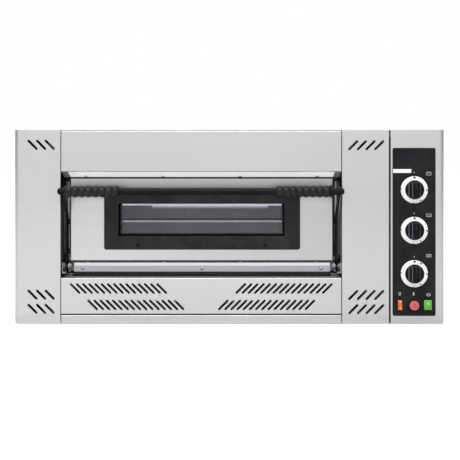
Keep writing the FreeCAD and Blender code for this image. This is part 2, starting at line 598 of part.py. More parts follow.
# Gas inlet nipple with a hexagon behind the rear panel.
hexagon = [Vector(GAS_X + 15 * math.cos(math.radians(60 * i)), BACK + 0.02,
                  GAS_Z + 15 * math.sin(math.radians(60 * i))) for i in range(6)]
nipple = fuse([cyl_y(GAS_X, BACK - 21.8, GAS_Z, GAS_R - 0.48, 22.8),
               cyl_y(GAS_X, BACK - 16, GAS_Z, 15, 14.2),
               polygon_face(hexagon).extrude(Vector(0, 4.98, 0)),
               cyl_y(GAS_X, BACK + 4, GAS_Z, 9.3, 3.5),
               cyl_y(GAS_X, BACK + 6.5, GAS_Z, GAS_R, GAS_L)])
save("gas_inlet_nipple", nipple.cut(cyl_y(GAS_X, BACK - 10, GAS_Z, 7.5, 50)))

# Thermostat with three terminals at its back.
z = KNOB_Z["thermostat"]
thermostat = fuse([cyl_y(KNOB_X, BODY_Y, z, 9, 6),
                   box(KNOB_X - 22, KNOB_X + 22, BODY_Y + 5, BODY_Y + 34, z - 22, z + 22)]
                  + [box(KNOB_X - 16 + 11 * i, KNOB_X - 11 + 11 * i, BODY_Y + 33, BODY_Y + 44,
                         z - 4, z + 4) for i in range(3)])
save("thermostat_body", thermostat.cut(cyl_y(KNOB_X, BODY_Y - 1, z, STEM_BORE, 26)))

save("spark_generator", fuse([box(290, 345, -330, -270, 150, 185)]
                             + [cyl_z(300 + 17 * i, -300, 184, 4, 10) for i in range(3)]))
save("terminal_block", cut(box(300, 370, 330, 352, 150, 172),
                           [box(306 + 13 * i, 314 + 13 * i, 329, 340, 156, 173)
                            for i in range(5)]))

# ---------------------------------------------------------------- control panel
save("control_panel", cut(rounded_box(380.3, 480.0, 19.2, 410.4, 4.0, PANEL_Y, FRONT),
                          panel_holes(FRONT - 4, FRONT + 2)))

ROCKER_Y = FRONT - 1.0                # rocker axis
ROCKER_TILT = 7.5                     # degrees
# y from the axis, z from the axis
ROCKER_SECTION = [(-4.6, 11.2), (-3.0, 0.0), (-4.6, -11.2), (2.4, -11.2), (4.0, 0.0), (2.4, 11.2)]


def switch_body(x, bezel_w, pocket_w):
    """Rocker switch body: bezel outside, case inside, open pocket in front."""
    front, half = PANEL_Y - 1.6, bezel_w / 2
    bezel = rounded_box(x - half, x + half, SWITCH_Z - 15.4, SWITCH_Z + 15.4, 1.2,
                        front, PANEL_Y - 0.05)
    case = box(x - half + 1.1, x + half - 1.1, PANEL_Y - 0.1, FRONT + 24,
               SWITCH_Z - 13.6, SWITCH_Z + 13.6)
    legs = [box(x - 3, x + 3, FRONT + 23.9, FRONT + 32, z - 0.4, z + 0.4)
            for z in (SWITCH_Z - 8, SWITCH_Z, SWITCH_Z + 8)]
    shape = fuse([bezel, case] + legs)
    shape = shape.cut(box(x - pocket_w / 2, x + pocket_w / 2, front - 1, FRONT + 6.5,
                          SWITCH_Z - 12.0, SWITCH_Z + 12.0))
    return shape.cut(cyl_x(x - half + 1.6, ROCKER_Y, SWITCH_Z, 1.05, bezel_w - 3.2))


def rocker(x, width, bezel_w):
    """Rocker key, pressed at the top; it turns about its stub axles."""
    points = [Vector(x - width / 2, ROCKER_Y + y, SWITCH_Z + z) for y, z in ROCKER_SECTION]
    shape = polygon_face(points).extrude(Vector(width, 0, 0))
    shape = round_front(shape, 0.9, ROCKER_Y - 4.0)
    axle = cyl_x(x - bezel_w / 2 + 2.0, ROCKER_Y, SWITCH_Z, 1.0, bezel_w - 4.0)
    shape = fuse([shape, axle])
    shape.rotate(Vector(x, ROCKER_Y, SWITCH_Z), AXIS_X, -ROCKER_TILT)
    return shape


for name, (x, bezel_w, pocket_w, _) in SWITCHES.items():
    save(name + "_switch_body", switch_body(x, bezel_w, pocket_w))
    save(name + "_rocker", rocker(x, pocket_w - 0.4, bezel_w))

# Ignition button: socket body, and a cap with two ring grooves and a rear stem.
socket = fuse([cyl_y(BUTTON_X, PANEL_Y - 2.2, BUTTON_Z, 15.4, 2.15),
               cyl_y(BUTTON_X, PANEL_Y - 0.1, BUTTON_Z, 13.5, 30)])
socket = round_front(socket, 0.8, PANEL_Y - 2.1)
socket = socket.cut(cyl_y(BUTTON_X, FRONT - 10, BUTTON_Z, 11.0, 20))
save("button_body", socket.cut(cyl_y(BUTTON_X, FRONT + 5, BUTTON_Z, 3.05, 30)))
cap = round_front(cyl_y(BUTTON_X, PANEL_Y - 5.5, BUTTON_Z, 10.9, 11), 1.2, PANEL_Y - 5.4)
for outer, inner in ((8.2, 7.2), (4.6, 3.7)):
    cap = cap.cut(tube_y(BUTTON_X, PANEL_Y - 6, BUTTON_Z, outer, inner, 1.3))
save("ignition_button", fuse([cap, cyl_y(BUTTON_X, FRONT + 3, BUTTON_Z, 3.0, 14)]))

KNOB_BACK = PANEL_Y - 0.5
# y from KNOB_BACK, radius
DIAL_SECTION = [(0, KNOB_R + 0.1), (0, DIAL_R), (-1.6, DIAL_R), (-3.2, 30.2), (-4.2, KNOB_R + 0.1)]


def knob(z):
    """Bar-grip knob with a skirt base, an index groove and a stem."""
    skirt = cyl_y(KNOB_X, KNOB_BACK - 6.5, z, KNOB_R, 6.5)
    skirt = round_front(skirt, 1.5, KNOB_BACK - 6.4)
    tip = KNOB_BACK - GRIP_H
    grip = Part.makeCone(17.4, KNOB_R - 1.8, GRIP_H - 6.2, Vector(KNOB_X, tip, z), AXIS_Y)
    wedge = [Vector(KNOB_X + x, y, z - 40) for x, y in
             ((-12.6, KNOB_BACK - 6), (-7.8, tip), (7.8, tip), (12.6, KNOB_BACK - 6))]
    grip = grip.common(polygon_face(wedge).extrude(Vector(0, 0, 80)))
    grip = grip.makeFillet(1.2, [e for e in grip.Edges if e.BoundBox.YMin < tip + 0.1
                                 and e.BoundBox.YMax < tip + 0.5])
    shape = fuse([skirt, grip])
    shape = shape.cut(box(KNOB_X - 0.9, KNOB_X + 0.9, tip - 1, tip + 0.6, z + 3, z + 15.5))
    stem = cyl_y(KNOB_X, KNOB_BACK - 1, z, 4.0, FRONT + 36 - KNOB_BACK + 1)
    return fuse([shape, stem])


def dial(z, dimples):
    """Ring around the knob base, with rim notches and dimples at angles in degrees."""
    points = [Vector(KNOB_X + radius, KNOB_BACK + y, z) for y, radius in DIAL_SECTION]
    shape = polygon_face(points).revolve(Vector(KNOB_X, 0, z), AXIS_Y, 360)
    tools = []
    # angles, distance from the axis, cutter radius, cutter length
    for degrees, reach, radius, length in (((176, 266, 356), DIAL_R + 0.4, 1.6, 8),
                                           (dimples, 28.2, 1.5, 3.6)):
        for angle in map(math.radians, degrees):
            tools.append(cyl_y(KNOB_X + reach * math.cos(angle), KNOB_BACK - 6,
                               z + reach * math.sin(angle), radius, length))
    return cut(shape, tools)


for name, z in KNOB_Z.items():
    save("knob_" + name, knob(z))
    save("dial_" + name, dial(z, (90, 0, 300) + ((58,) if name == "thermostat" else ())))

# ---------------------------------------------------------------- door
WINDOW_FRONT = DOOR_FRONT - 8.0       # front face of the window frame
WINDOW_SCREWS = [(MID_X + side * 149.5, WINDOW_FRONT, z) for side in SIDES for z in (182.0, 304.0)]
window_holes = screw_holes(WINDOW_SCREWS, TO_FRONT, 2.3, 18)
OPENING_HALF, OPENING_BOT, OPENING_TOP = 197.0, 201.0, 285.0
PANE = (MID_X - 196, MID_X + 196)     # x span of glass and gasket
PANE_BOT, PANE_TOP = 202, 284


def door_opening(front, back, margin=0):
    return box(MID_X - OPENING_HALF - margin, MID_X + OPENING_HALF + margin, front, back,
               OPENING_BOT - margin, OPENING_TOP + margin)


# Door skin: a tray open to the back.
skin = box(DOOR_LEFT, DOOR_RIGHT, DOOR_FRONT, DOOR_BACK, DOOR_BOT, DOOR_TOP)
skin = round_front(skin, 1.8, DOOR_FRONT + 0.1)
skin = skin.cut(box(DOOR_LEFT + SHEET, DOOR_RIGHT - SHEET, DOOR_FRONT + SHEET, DOOR_BACK + 1,
                    DOOR_BOT + SHEET, DOOR_TOP - SHEET))
skin = skin.cut(door_opening(FRONT, DOOR_BACK))
save("door_skin", cut(skin, arm_screw_holes(-1, 2.3, 20) + arm_screw_holes(1, 2.3, 20)
                      + window_holes))

inner_panel = box(DOOR_LEFT + 0.5, DOOR_RIGHT - 0.5, FRONT + 43.7, FRONT + 45.2,
                  DOOR_BOT + 0.5, DOOR_TOP - 0.5)
save("door_inner_panel", inner_panel.cut(door_opening(FRONT, FRONT + 60)))

door_wool = box(DOOR_LEFT + 2, DOOR_RIGHT - 2, FRONT + 24, FRONT + 43.3,
                DOOR_BOT + 2, DOOR_TOP - 2)
door_wool = door_wool.cut(door_opening(FRONT, FRONT + 60, 2))
save("door_insulation", cut(door_wool, arm_screw_holes(-1, 3.4, 24) + arm_screw_holes(1, 3.4, 24)
                            + screw_holes(WINDOW_SCREWS, TO_FRONT, 3.4, 22)))

# Window frame, rounded outside and chamfered around the glass.
GLASS_LEFT, GLASS_RIGHT, GLASS_BOT, GLASS_TOP = -192.0, 192.4, 206.6, 279.0   # x from MID_X
window = rounded_box(MID_X - 229.5, MID_X + 232.0, 170.8, 314.0, 5.5, WINDOW_FRONT, DOOR_FRONT)
window = round_front(window, 1.6, WINDOW_FRONT + 0.1)
window = window.cut(box(MID_X + GLASS_LEFT, MID_X + GLASS_RIGHT, FRONT, FRONT + 60,
                        GLASS_BOT, GLASS_TOP))
window = window.makeChamfer(1.6, [
    e for e in window.Edges if e.BoundBox.YMax < WINDOW_FRONT + 0.1
    and abs(e.BoundBox.Center.x - MID_X) < GLASS_RIGHT + 1
    and GLASS_BOT - 1 < e.BoundBox.Center.z < GLASS_TOP + 1])
save("window_frame", cut(window, window_holes))

save("window_glass", group([box(*PANE, FRONT + front, FRONT + back, PANE_BOT, PANE_TOP)
                            for front, back in ((22.1, 26.0), (41.0, 45.0))]))
window_gasket = box(*PANE, FRONT + 26.1, FRONT + 40.9, PANE_BOT, PANE_TOP)
save("window_gasket", window_gasket.cut(box(MID_X - 190, MID_X + 190, FRONT + 25.1,
                                            FRONT + 41.9, PANE_BOT + 6, PANE_TOP - 6)))

door_gasket = rounded_box(MID_X - 308.6, MID_X + 308.6, 158.2, 321.8, 7,
                          FRONT + 45.3, FRAME_Y - 0.2)
save("door_gasket", door_gasket.cut(rounded_box(MID_X - 303.8, MID_X + 303.8, 163.0, 317.0, 4,
                                                FRONT + 40, FRONT + 60)))

# Arm plate outline: depth behind the front plane, height
ARM_OUTLINE = [(15, 131), (35, 131), (35, 251.4), (-10.7, 315.2), (-25.3, 304.8), (15, 248.6)]


def door_arm(side):
    """Plate from the pivot up and forward to the handle, with two screw bosses."""
    left, right = span(side, ARM_IN, ARM_OUT)
    points = [Vector(left, FRONT + depth, z) for depth, z in ARM_OUTLINE]
    plate = polygon_face(points).extrude(Vector(right - left, 0, 0))
    plate = plate.makeFillet(12, [edge for edge in edges_along(plate, AXIS_X)
                                  if 240 < edge.BoundBox.Center.z < 260])
    parts = [plate, cyl_span(side, ARM_IN, ARM_OUT, PIVOT_Y, PIVOT_Z, 10),
             cyl_span(side, ARM_IN, ARM_OUT, BAR_Y, BAR_Z, 9)]
    parts += [cyl_span(side, 310.05, ARM_IN + 0.3, ARM_SCREW_Y, z, 6) for z in ARM_SCREW_Z]
    shape = fuse(parts)
    shape = shape.cut(cyl_span(side, 300, 330, PIVOT_Y, PIVOT_Z, PIN_R + 0.06))
    shape = shape.cut(cyl_span(side, 300, 330, BAR_Y, BAR_Z, 4.1))
    return cut(shape, arm_screw_holes(side, 2.3, 20))


save("door_arms", group([door_arm(side) for side in SIDES]))

# Handle bar with thin ends and a collar towards each end.
# start x from the centre line, radius, length
BAR_PARTS = ((-317.0, BAR_R, 634.0), (-326.6, 4.0, 653.2), (298.2, 14.5, 3.0), (-316.6, 11.5, 4.1))
save("handle_bar", fuse([cyl_x(MID_X + start, BAR_Y, BAR_Z, radius, length)
                         for start, radius, length in BAR_PARTS]))

# Grip beads: barrel rings in a row at each end of the bar.
BEAD_R, BEAD_NECK, BEAD_BORE, BEAD_PITCH = 14.0, 11.2, 8.06, 15.4
half = BEAD_PITCH / 2 - 0.1
bead_profile = [(-half, BEAD_BORE), (-half, BEAD_NECK), (half, BEAD_NECK), (half, BEAD_BORE)]
save("grip_beads", group([
    revolve_x(bead_profile, MID_X + first + BEAD_PITCH * i, BAR_Y, BAR_Z, 1, (0, BEAD_R))
    for first in (-304.5, 181.0) for i in range(8)]))

# Domed end nuts. Profile: x offset, radius
NUT_PROFILE = [(0, 4.1), (0, 7.6), (5.2, 7.6), (9.7, 2.5), (9.7, 0), (6.9, 0), (6.9, 4.1)]
nut = revolve_x(NUT_PROFILE, MID_X + 320.3, BAR_Y, BAR_Z, 2, (8.7, 5.8))
save("handle_end_nuts", group([nut.mirror(Vector(MID_X, 0, 0), AXIS_X), nut]))

# ---------------------------------------------------------------- fasteners
casing_screw = make_screw(4.0, 2.4, 4.5)
save("casing_screws", group(
    place_screws(casing_screw, HOOD_SCREWS, HOOD_NORMAL)
    + place_screws(casing_screw, SILL_SCREWS, AXIS_Z)
    + place_screws(casing_screw, RAIL_SCREWS + BRACKET_SCREWS[-1] + BRACKET_SCREWS[1], TO_FRONT)
    + place_screws(casing_screw, REAR_SCREWS, TO_BACK)))

arm_screw = make_screw(4.6, 2.6, 14.0)
door_screws = place_screws(make_screw(4.0, 2.4, 9.0), WINDOW_SCREWS, TO_FRONT)
for side in SIDES:
    door_screws += place_screws(arm_screw, ARM_SCREWS[side], AXIS_X * side)
save("door_screws", group(door_screws))
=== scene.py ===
import bpy, bmesh, math, random
from mathutils import Vector, Matrix


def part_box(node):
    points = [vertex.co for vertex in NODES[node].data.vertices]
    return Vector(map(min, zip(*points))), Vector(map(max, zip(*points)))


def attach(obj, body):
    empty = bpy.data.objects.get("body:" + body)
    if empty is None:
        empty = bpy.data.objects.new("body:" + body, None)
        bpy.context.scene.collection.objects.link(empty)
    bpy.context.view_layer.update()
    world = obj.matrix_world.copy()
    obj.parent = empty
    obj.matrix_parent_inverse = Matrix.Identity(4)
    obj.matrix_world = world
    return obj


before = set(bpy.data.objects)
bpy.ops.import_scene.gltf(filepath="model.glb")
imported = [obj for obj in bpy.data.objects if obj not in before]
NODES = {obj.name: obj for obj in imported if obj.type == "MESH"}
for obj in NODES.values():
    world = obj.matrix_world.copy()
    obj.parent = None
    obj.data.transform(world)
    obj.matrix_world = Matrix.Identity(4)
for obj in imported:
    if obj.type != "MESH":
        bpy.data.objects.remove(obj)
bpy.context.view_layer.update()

random.seed(7)
scene = bpy.context.scene

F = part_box("vent_panel")[0].y            # front plane of the casing
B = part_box("rear_panel")[1].y            # back plane
CX = (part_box("door_skin")[0].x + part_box("door_skin")[1].x) / 2
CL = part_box("left_side_panel")[1].x      # recess side of the left column
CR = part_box("right_front_column")[0].x   # recess side of the right column


# =====================================================================================
# material helpers
# =====================================================================================
class Mat:
    def __init__(self, name):
        self.m = bpy.data.materials.new(name)
        self.m.use_nodes = True
        self.t = self.m.node_tree
        self.t.nodes.clear()
        self.out = self.n("ShaderNodeOutputMaterial")

    def n(self, typ, ins=None, **props):
        nd = self.t.nodes.new(typ)
        for k, v in props.items():
            setattr(nd, k, v)
        for k, v in (ins or {}).items():
            self.set(nd, k, v)
        return nd

    def set(self, nd, k, v):
        sock = nd.inputs[k]
        if isinstance(v, bpy.types.NodeSocket):
            self.t.links.new(v, sock)
        else:
            sock.default_value = v

    # ---- small building blocks, each returns an output socket
    def coord(self, kind="Object"):
        return self.n("ShaderNodeTexCoord").outputs[kind]

    def mapping(self, vec, scale=(1, 1, 1), rot=(0, 0, 0), loc=(0, 0, 0)):
        return self.n("ShaderNodeMapping", {"Vector": vec, "Scale": scale, "Rotation": rot,
                                            "Location": loc}).outputs[0]

    def noise(self, vec, scale=1.0, detail=3.0, rough=0.55, dist=0.0):
        return self.n("ShaderNodeTexNoise", {"Vector": vec, "Scale": scale, "Detail": detail,
                                             "Roughness": rough, "Distortion": dist}).outputs[0]

    def voronoi(self, vec, scale=1.0, feature="F1", out="Distance"):
        return self.n("ShaderNodeTexVoronoi", {"Vector": vec, "Scale": scale}, feature=feature).outputs[out]

    def ramp(self, fac, stops):
        r = self.n("ShaderNodeValToRGB", {"Fac": fac})
        els = r.color_ramp.elements
        while len(els) < len(stops):
            els.new(0.5)
        for e, (p, c) in zip(els, stops):
            e.position = p
            e.color = c if len(c) == 4 else (*c, 1)
        return r.outputs[0]

    def math(self, op, a, b=0.0, clamp=False):
        nd = self.n("ShaderNodeMath", operation=op, use_clamp=clamp)
        self.set(nd, 0, a)
        self.set(nd, 1, b)
        return nd.outputs[0]

    def maprange(self, v, a, b, c, d):
        return self.n("ShaderNodeMapRange", {"Value": v, "From Min": a, "From Max": b, "To Min": c,
                                             "To Max": d}).outputs[0]

    def mix(self, fac, a, b, mode="MIX"):
        nd = self.n("ShaderNodeMix", data_type="RGBA", blend_type=mode)
        self.set(nd, 0, fac)
        for i, v in ((6, a), (7, b)):
            if isinstance(v, (tuple, list)):
                v = (*v, 1) if len(v) == 3 else v
            self.set(nd, i, v)
        return nd.outputs[2]

    def bump(self, h, dist=0.0002, strength=1.0, normal=None):
        nd = self.n("ShaderNodeBump", {"Height": h, "Distance": dist, "Strength": strength})
        if normal is not None:
            self.set(nd, "Normal", normal)
        return nd.outputs[0]

    def bevel(self, r=0.0006, samples=4):
        return self.n("ShaderNodeBevel", {"Radius": r}, samples=samples).outputs[0]

    def edge(self, r=0.0012):
        """1 on edges, 0 on flats."""
        g = self.n("ShaderNodeNewGeometry")
        d = self.n("ShaderNodeVectorMath", operation="DOT_PRODUCT")
        self.set(d, 0, self.bevel(r, 3))
        self.set(d, 1, g.outputs["Normal"])
        return self.maprange(d.outputs["Value"], 0.96, 0.75, 0.0, 1.0)

    def bsdf(self, **kw):
        nd = self.n("ShaderNodeBsdfPrincipled")
        for k, v in kw.items():
            k = k.replace("_", " ")
            if isinstance(v, (tuple, list)) and len(v) == 3 and k != "Normal":
                v = (*v, 1)
            self.set(nd, k, v)
        self.t.links.new(nd.outputs[0], self.out.inputs[0])
        return nd

    def zone(self, co, x=None, y=None, z=None, u=None, soft=0.0003):
        """1 inside a box of object space, 0 outside. u is the distance from the door's middle line."""
        sep = self.n("ShaderNodeSeparateXYZ", {"Vector": co})
        k = None
        src = [(sep.outputs[0], x), (sep.outputs[1], y), (sep.outputs[2], z)]
        if u:
            src.append((self.math("ABSOLUTE", self.math("SUBTRACT", sep.outputs[0], CX)), u))
        for s, rg in src:
            if rg is None:
                continue
            for v, up in ((rg[0], True), (rg[1], False)):
                if v is None:
                    continue
                t = self.maprange(s, v, v + soft, 0, 1) if up else self.maprange(s, v - soft, v, 1, 0)
                k = t if k is None else self.math("MULTIPLY", k, t)
        return k

    def tangent(self):
        g = self.n("ShaderNodeNewGeometry").outputs["True Normal"]
        c = self.n("ShaderNodeVectorMath", operation="CROSS_PRODUCT")
        self.set(c, 0, g)
        c.inputs[1].default_value = (0, 0, 1)
        a = self.n("ShaderNodeVectorMath", operation="ADD")
        self.set(a, 0, c.outputs[0])
        a.inputs[1].default_value = (0.003, 0, 0)
        b = self.n("ShaderNodeVectorMath", operation="NORMALIZE")
        self.set(b, 0, a.outputs[0])
        return b.outputs[0]


def steel(name, base=(0.768, 0.764, 0.764), rough=0.36, grain="X", grain_amt=1.0, aniso=0.45,
          cloud=0.03, smudge=0.05, edge_light=0.10, low_shade=0.0, shadow_bands=(), glow=None, light_and_shade=(), fall=(0.05, 0.42, 0.13)):
    """Brushed stainless sheet: long fine grain, slow tone drift, wiped smudges, painted highlights on the edges, and
    optional painted shade, shadow bands, glow and light-and-shade zones.
    """
    m = Mat(name)
    co = m.coord()
    sc = {"X": (3.0, 1300.0, 1300.0), "Z": (1300.0, 1300.0, 3.0), "Y": (1300.0, 3.0, 1300.0)}[grain]
    sc2 = tuple(s * 0.22 if s > 100 else s * 0.5 for s in sc)
    g1 = m.noise(m.mapping(co, sc), 1.0, 4.0, 0.65)
    g2 = m.noise(m.mapping(co, sc2), 1.0, 3.0, 0.6)
    gr = m.math("ADD", m.math("MULTIPLY", g1, 0.6), m.math("MULTIPLY", g2, 0.4))
    cl = m.noise(m.mapping(co, (1.6, 1.6, 2.4)), 1.0, 3.0, 0.5, 0.3)
    sm = m.noise(m.mapping(co, (7, 7, 11), loc=(3.1, 1.7, 0.4)), 1.0, 4.0, 0.6, 0.8)
    lo = tuple(c * (1 - cloud - 0.05 * grain_amt) for c in base)
    hi = tuple(min(1, c * (1 + cloud * 0.6 + 0.03 * grain_amt)) for c in base)
    t = m.math("ADD", m.math("MULTIPLY", m.maprange(gr, 0.3, 0.7, 0, 1), 0.62),
               m.math("MULTIPLY", m.maprange(cl, 0.3, 0.7, 0, 1), 0.38))
    col = m.mix(t, lo, hi)
    # painted shade: the sheets' tone falls off a little to the lower right, as the room light falls off there
    sx = m.n("ShaderNodeSeparateXYZ", {"Vector": co})
    fall = m.math("MULTIPLY", m.maprange(sx.outputs[0], fall[0], fall[1], 0.0, fall[2]), m.maprange(sx.outputs[2], 0.45, 0.02, 0.45, 1.0))
    col = m.mix(fall, col, tuple(c * 0.30 for c in base))
    # painted highlight along the edges of the sheet
    ed = m.edge(0.0010)
    col = m.mix(m.math("MULTIPLY", ed, edge_light * 4, True), col, (0.93, 0.93, 0.94))
    if low_shade:
        z = m.n("ShaderNodeSeparateXYZ", {"Vector": co}).outputs[2]
        s = m.maprange(z, 0.0205, 0.0235, low_shade, 0.0)
        s.node.clamp = True
        col = m.mix(s, col, tuple(c * 0.55 for c in base))
    # painted shadow bands where a part above shades the sheet: (z fade-in start, z fade-in end, z fade-out start, z
    # fade-out end, amount)
    for z0, z1, z2, z3, amt in shadow_bands:
        z = m.n("ShaderNodeSeparateXYZ", {"Vector": co}).outputs[2]
        a = m.maprange(z, z0, z1, 0.0, 1.0)
        b = m.maprange(z, z2, z3, 1.0, 0.0)
        a.node.interpolation_type = b.node.interpolation_type = "SMOOTHSTEP"
        wob = m.maprange(m.noise(m.mapping(co, (5, 5, 5)), 1.0, 2.0), 0.3, 0.7, 0.8, 1.0)
        k = m.math("MULTIPLY", m.math("MULTIPLY", m.math("MULTIPLY", a, b), amt), wob)
        col = m.mix(k, col, tuple(c * 0.40 for c in base))
    metal = 1.0
    # painted light and shade zones: (zone, tone, how far the metal turns matte)
    for zn, tone, matte in light_and_shade:
        k = m.zone(co, **zn)
        col = m.mix(k, col, m.mix(gr, tuple(c * 0.85 for c in tone), tuple(min(1, c * 1.15) for c in tone)))
        metal = m.math("SUBTRACT", m.math("MAXIMUM", metal, m.math("MULTIPLY", k, 1.0)), m.math("MULTIPLY", k, matte))
    r = m.math("ADD", rough - 0.06, m.math("MULTIPLY", gr, 0.12))
    r = m.math("ADD", r, m.math("MULTIPLY", m.maprange(sm, 0.45, 0.75, 0, 1), smudge))
    nb = m.bevel(0.0009, 4)
    nrm = m.bump(gr, 0.00006, 0.55 * grain_amt, nb)
    b = m.bsdf(Base_Color=col, Metallic=metal, Roughness=r, Normal=nrm, Anisotropic=aniso,
               Tangent=m.tangent())
    if glow:
        # painted light: an emissive strip stands in for the ceiling light caught by the hood lip: (z low, z high,
        # colour, strength)
        z = m.n("ShaderNodeSeparateXYZ", {"Vector": co}).outputs[2]
        y = m.n("ShaderNodeSeparateXYZ", {"Vector": co}).outputs[1]
        k = m.math("MULTIPLY", m.maprange(z, glow[0], glow[0] + 0.0008, 0, 1), m.maprange(z, glow[1] - 0.0006, glow[1], 1, 0))
        k = m.math("MULTIPLY", k, m.maprange(y, F + 0.0292, F + 0.0300, 1, 0))
        k = m.math("MULTIPLY", k, m.maprange(y, F + 0.0004, F + 0.0012, 0, 1))
        k = m.math("MULTIPLY", k, m.zone(co, u=(-1, 0.3115), soft=0.0006))
        m.set(b, "Emission Color", (*glow[2], 1))
        m.set(b, "Emission Strength", m.math("MULTIPLY", k, glow[3]))
        m.set(b, "Roughness", m.math("ADD", r, m.math("MULTIPLY", k, 0.3)))
    return m.m


def polished(name, base=(0.84, 0.84, 0.85), rough=0.14, toe=None, upright=None):
    m = Mat(name)
    co = m.coord()
    g = m.noise(m.mapping(co, (6, 900, 900)), 1.0, 3.0)
    sm = m.noise(m.mapping(co, (14, 14, 14)), 1.0, 4.0, 0.6, 0.7)
    col = m.mix(m.maprange(sm, 0.35, 0.7, 0, 1), tuple(c * 0.93 for c in base), base)
    r = m.math("ADD", rough, m.math("MULTIPLY", m.maprange(sm, 0.4, 0.8, 0, 1), 0.10))
    metal, shine = 1.0, 0.5
    # painted reflection: the upright face below this height takes a darker grey tone
    if upright:
        z = m.n("ShaderNodeSeparateXYZ", {"Vector": co}).outputs[2]
        k = m.maprange(z, upright, upright + 0.0008, 1.0, 0.0)
        col = m.mix(k, col, m.mix(g, (0.40, 0.395, 0.41), (0.50, 0.495, 0.51)))
    # painted shade: below the toe height the colour turns near black and loses its metal shine
    if toe:
        z = m.n("ShaderNodeSeparateXYZ", {"Vector": co}).outputs[2]
        k = m.maprange(z, toe, toe + 0.0005, 1.0, 0.0)
        col = m.mix(k, col, m.mix(g, (0.006, 0.006, 0.007), (0.015, 0.0145, 0.0155)))
        metal = m.maprange(z, toe, toe + 0.0005, 0.1, 1.0)
        shine = m.maprange(z, toe, toe + 0.0005, 0.12, 0.5)
        r = m.math("ADD", r, m.maprange(z, toe, toe + 0.0005, 0.35, 0.0))
    m.bsdf(Base_Color=col, Metallic=metal, Specular_IOR_Level=shine, Roughness=r, Anisotropic=0.35, Tangent=m.tangent(),
           Normal=m.bump(g, 0.00004, 0.35, m.bevel(0.0006)))
    return m.m


def galvanised(name, base=(0.62, 0.63, 0.64)):
    m = Mat(name)
    co = m.coord()
    v = m.n("ShaderNodeTexVoronoi", {"Vector": co, "Scale": 95.0, "Randomness": 1.0})
    sp = m.n("ShaderNodeSeparateColor", {"Color": v.outputs["Color"]}).outputs[0]
    cl = m.noise(m.mapping(co, (4, 4, 4)), 1.0, 4.0)
    col = m.mix(sp, tuple(c * 0.82 for c in base), tuple(min(1, c * 1.12) for c in base))
    col = m.mix(m.maprange(cl, 0.4, 0.75, 0, 0.4), col, tuple(c * 0.75 for c in base))
    fine = m.noise(co, 900.0, 2.0)
    m.bsdf(Base_Color=col, Metallic=0.9, Roughness=m.maprange(sp, 0, 1, 0.36, 0.52),
           Normal=m.bump(fine, 0.00005, 0.4, m.bevel(0.0007)))
    return m.m


def heat_steel(name, base=(0.50, 0.49, 0.47), tint=(0.42, 0.34, 0.24), rough=0.42, scale=6.0):
    m = Mat(name)
    co = m.coord()
    g = m.noise(m.mapping(co, (5, 500, 500)), 1.0, 4.0, 0.6)
    h = m.noise(m.mapping(co, (scale,) * 3), 1.0, 5.0, 0.6, 0.6)
    s = m.noise(m.mapping(co, (scale * 6,) * 3, loc=(5, 2, 1)), 1.0, 5.0, 0.65)
    col = m.mix(m.maprange(h, 0.42, 0.68, 0, 1), base, tint)
    col = m.mix(m.maprange(s, 0.55, 0.8, 0, 0.7), col, tuple(c * 0.45 for c in base))
    col = m.mix(m.math("MULTIPLY", m.edge(0.001), 0.3, True), col, (0.7, 0.69, 0.67))
    r = m.math("ADD", rough, m.math("MULTIPLY", s, 0.2))
    m.bsdf(Base_Color=col, Metallic=0.92, Roughness=r, Normal=m.bump(g, 0.00008, 0.4, m.bevel(0.0006)))
    return m.m


def powder(name, base=(0.022, 0.022, 0.024), rough=0.42, wear_and_highlight=0.5, grain=1800.0, spec=0.25, rub_and_highlight=0.085, shade_zones=(), sheen_lines=None):
    """Powder coat or moulded black: fine orange peel, rubbed edges with painted edge highlights, dust tone."""
    m = Mat(name)
    co = m.coord()
    a = m.noise(co, grain, 3.0, 0.6)
    b = m.noise(co, grain * 0.12, 3.0, 0.5)
    c = m.noise(co, 26.0, 4.0, 0.6, 0.5)
    col = m.mix(m.maprange(c, 0.35, 0.7, 0, 1), tuple(x * 0.85 for x in base), tuple(x * 1.35 + 0.004 for x in base))
    # rubbed edges and painted edge highlights share one lighter edge tone
    e = m.math("MULTIPLY", m.edge(0.0009), m.maprange(c, 0.35, 0.65, 0.2, wear_and_highlight), True)
    col = m.mix(e, col, (rub_and_highlight, rub_and_highlight, rub_and_highlight * 1.06))
    # painted shade: near black with no shine inside the listed zones
    for zn in shade_zones:
        k = m.zone(co, **zn)
        col = m.mix(k, col, (0.0015, 0.0015, 0.002))
        spec = m.math("MULTIPLY", m.math("SUBTRACT", 1.0, k), spec)
    if sheen_lines:
        # painted sheen: soft highlight lines running along the grip of a knob: (offset low, offset high, softness,
        # amount)
        x = m.math("SUBTRACT", m.n("ShaderNodeSeparateXYZ", {"Vector": co}).outputs[0], sheen_lines[0])
        for a0, a1, soft, amt in sheen_lines[1]:
            k = m.math("MULTIPLY", m.maprange(x, a0, a0 + soft, 0, 1), m.maprange(x, a1 - soft, a1, 1, 0))
            k = m.math("MULTIPLY", k, m.maprange(c, 0.3, 0.7, amt * 0.55, amt))
            col = m.mix(k, col, (0.20, 0.195, 0.23))
    r = m.math("ADD", rough - 0.05, m.math("MULTIPLY", a, 0.1))
    h = m.math("ADD", m.math("MULTIPLY", a, 0.5), m.math("MULTIPLY", b, 0.5))
    m.bsdf(Base_Color=col, Metallic=0.0, Roughness=r, Specular_IOR_Level=spec,
           Normal=m.bump(h, 0.00010, 0.35, m.bevel(0.0007)))
    return m.m


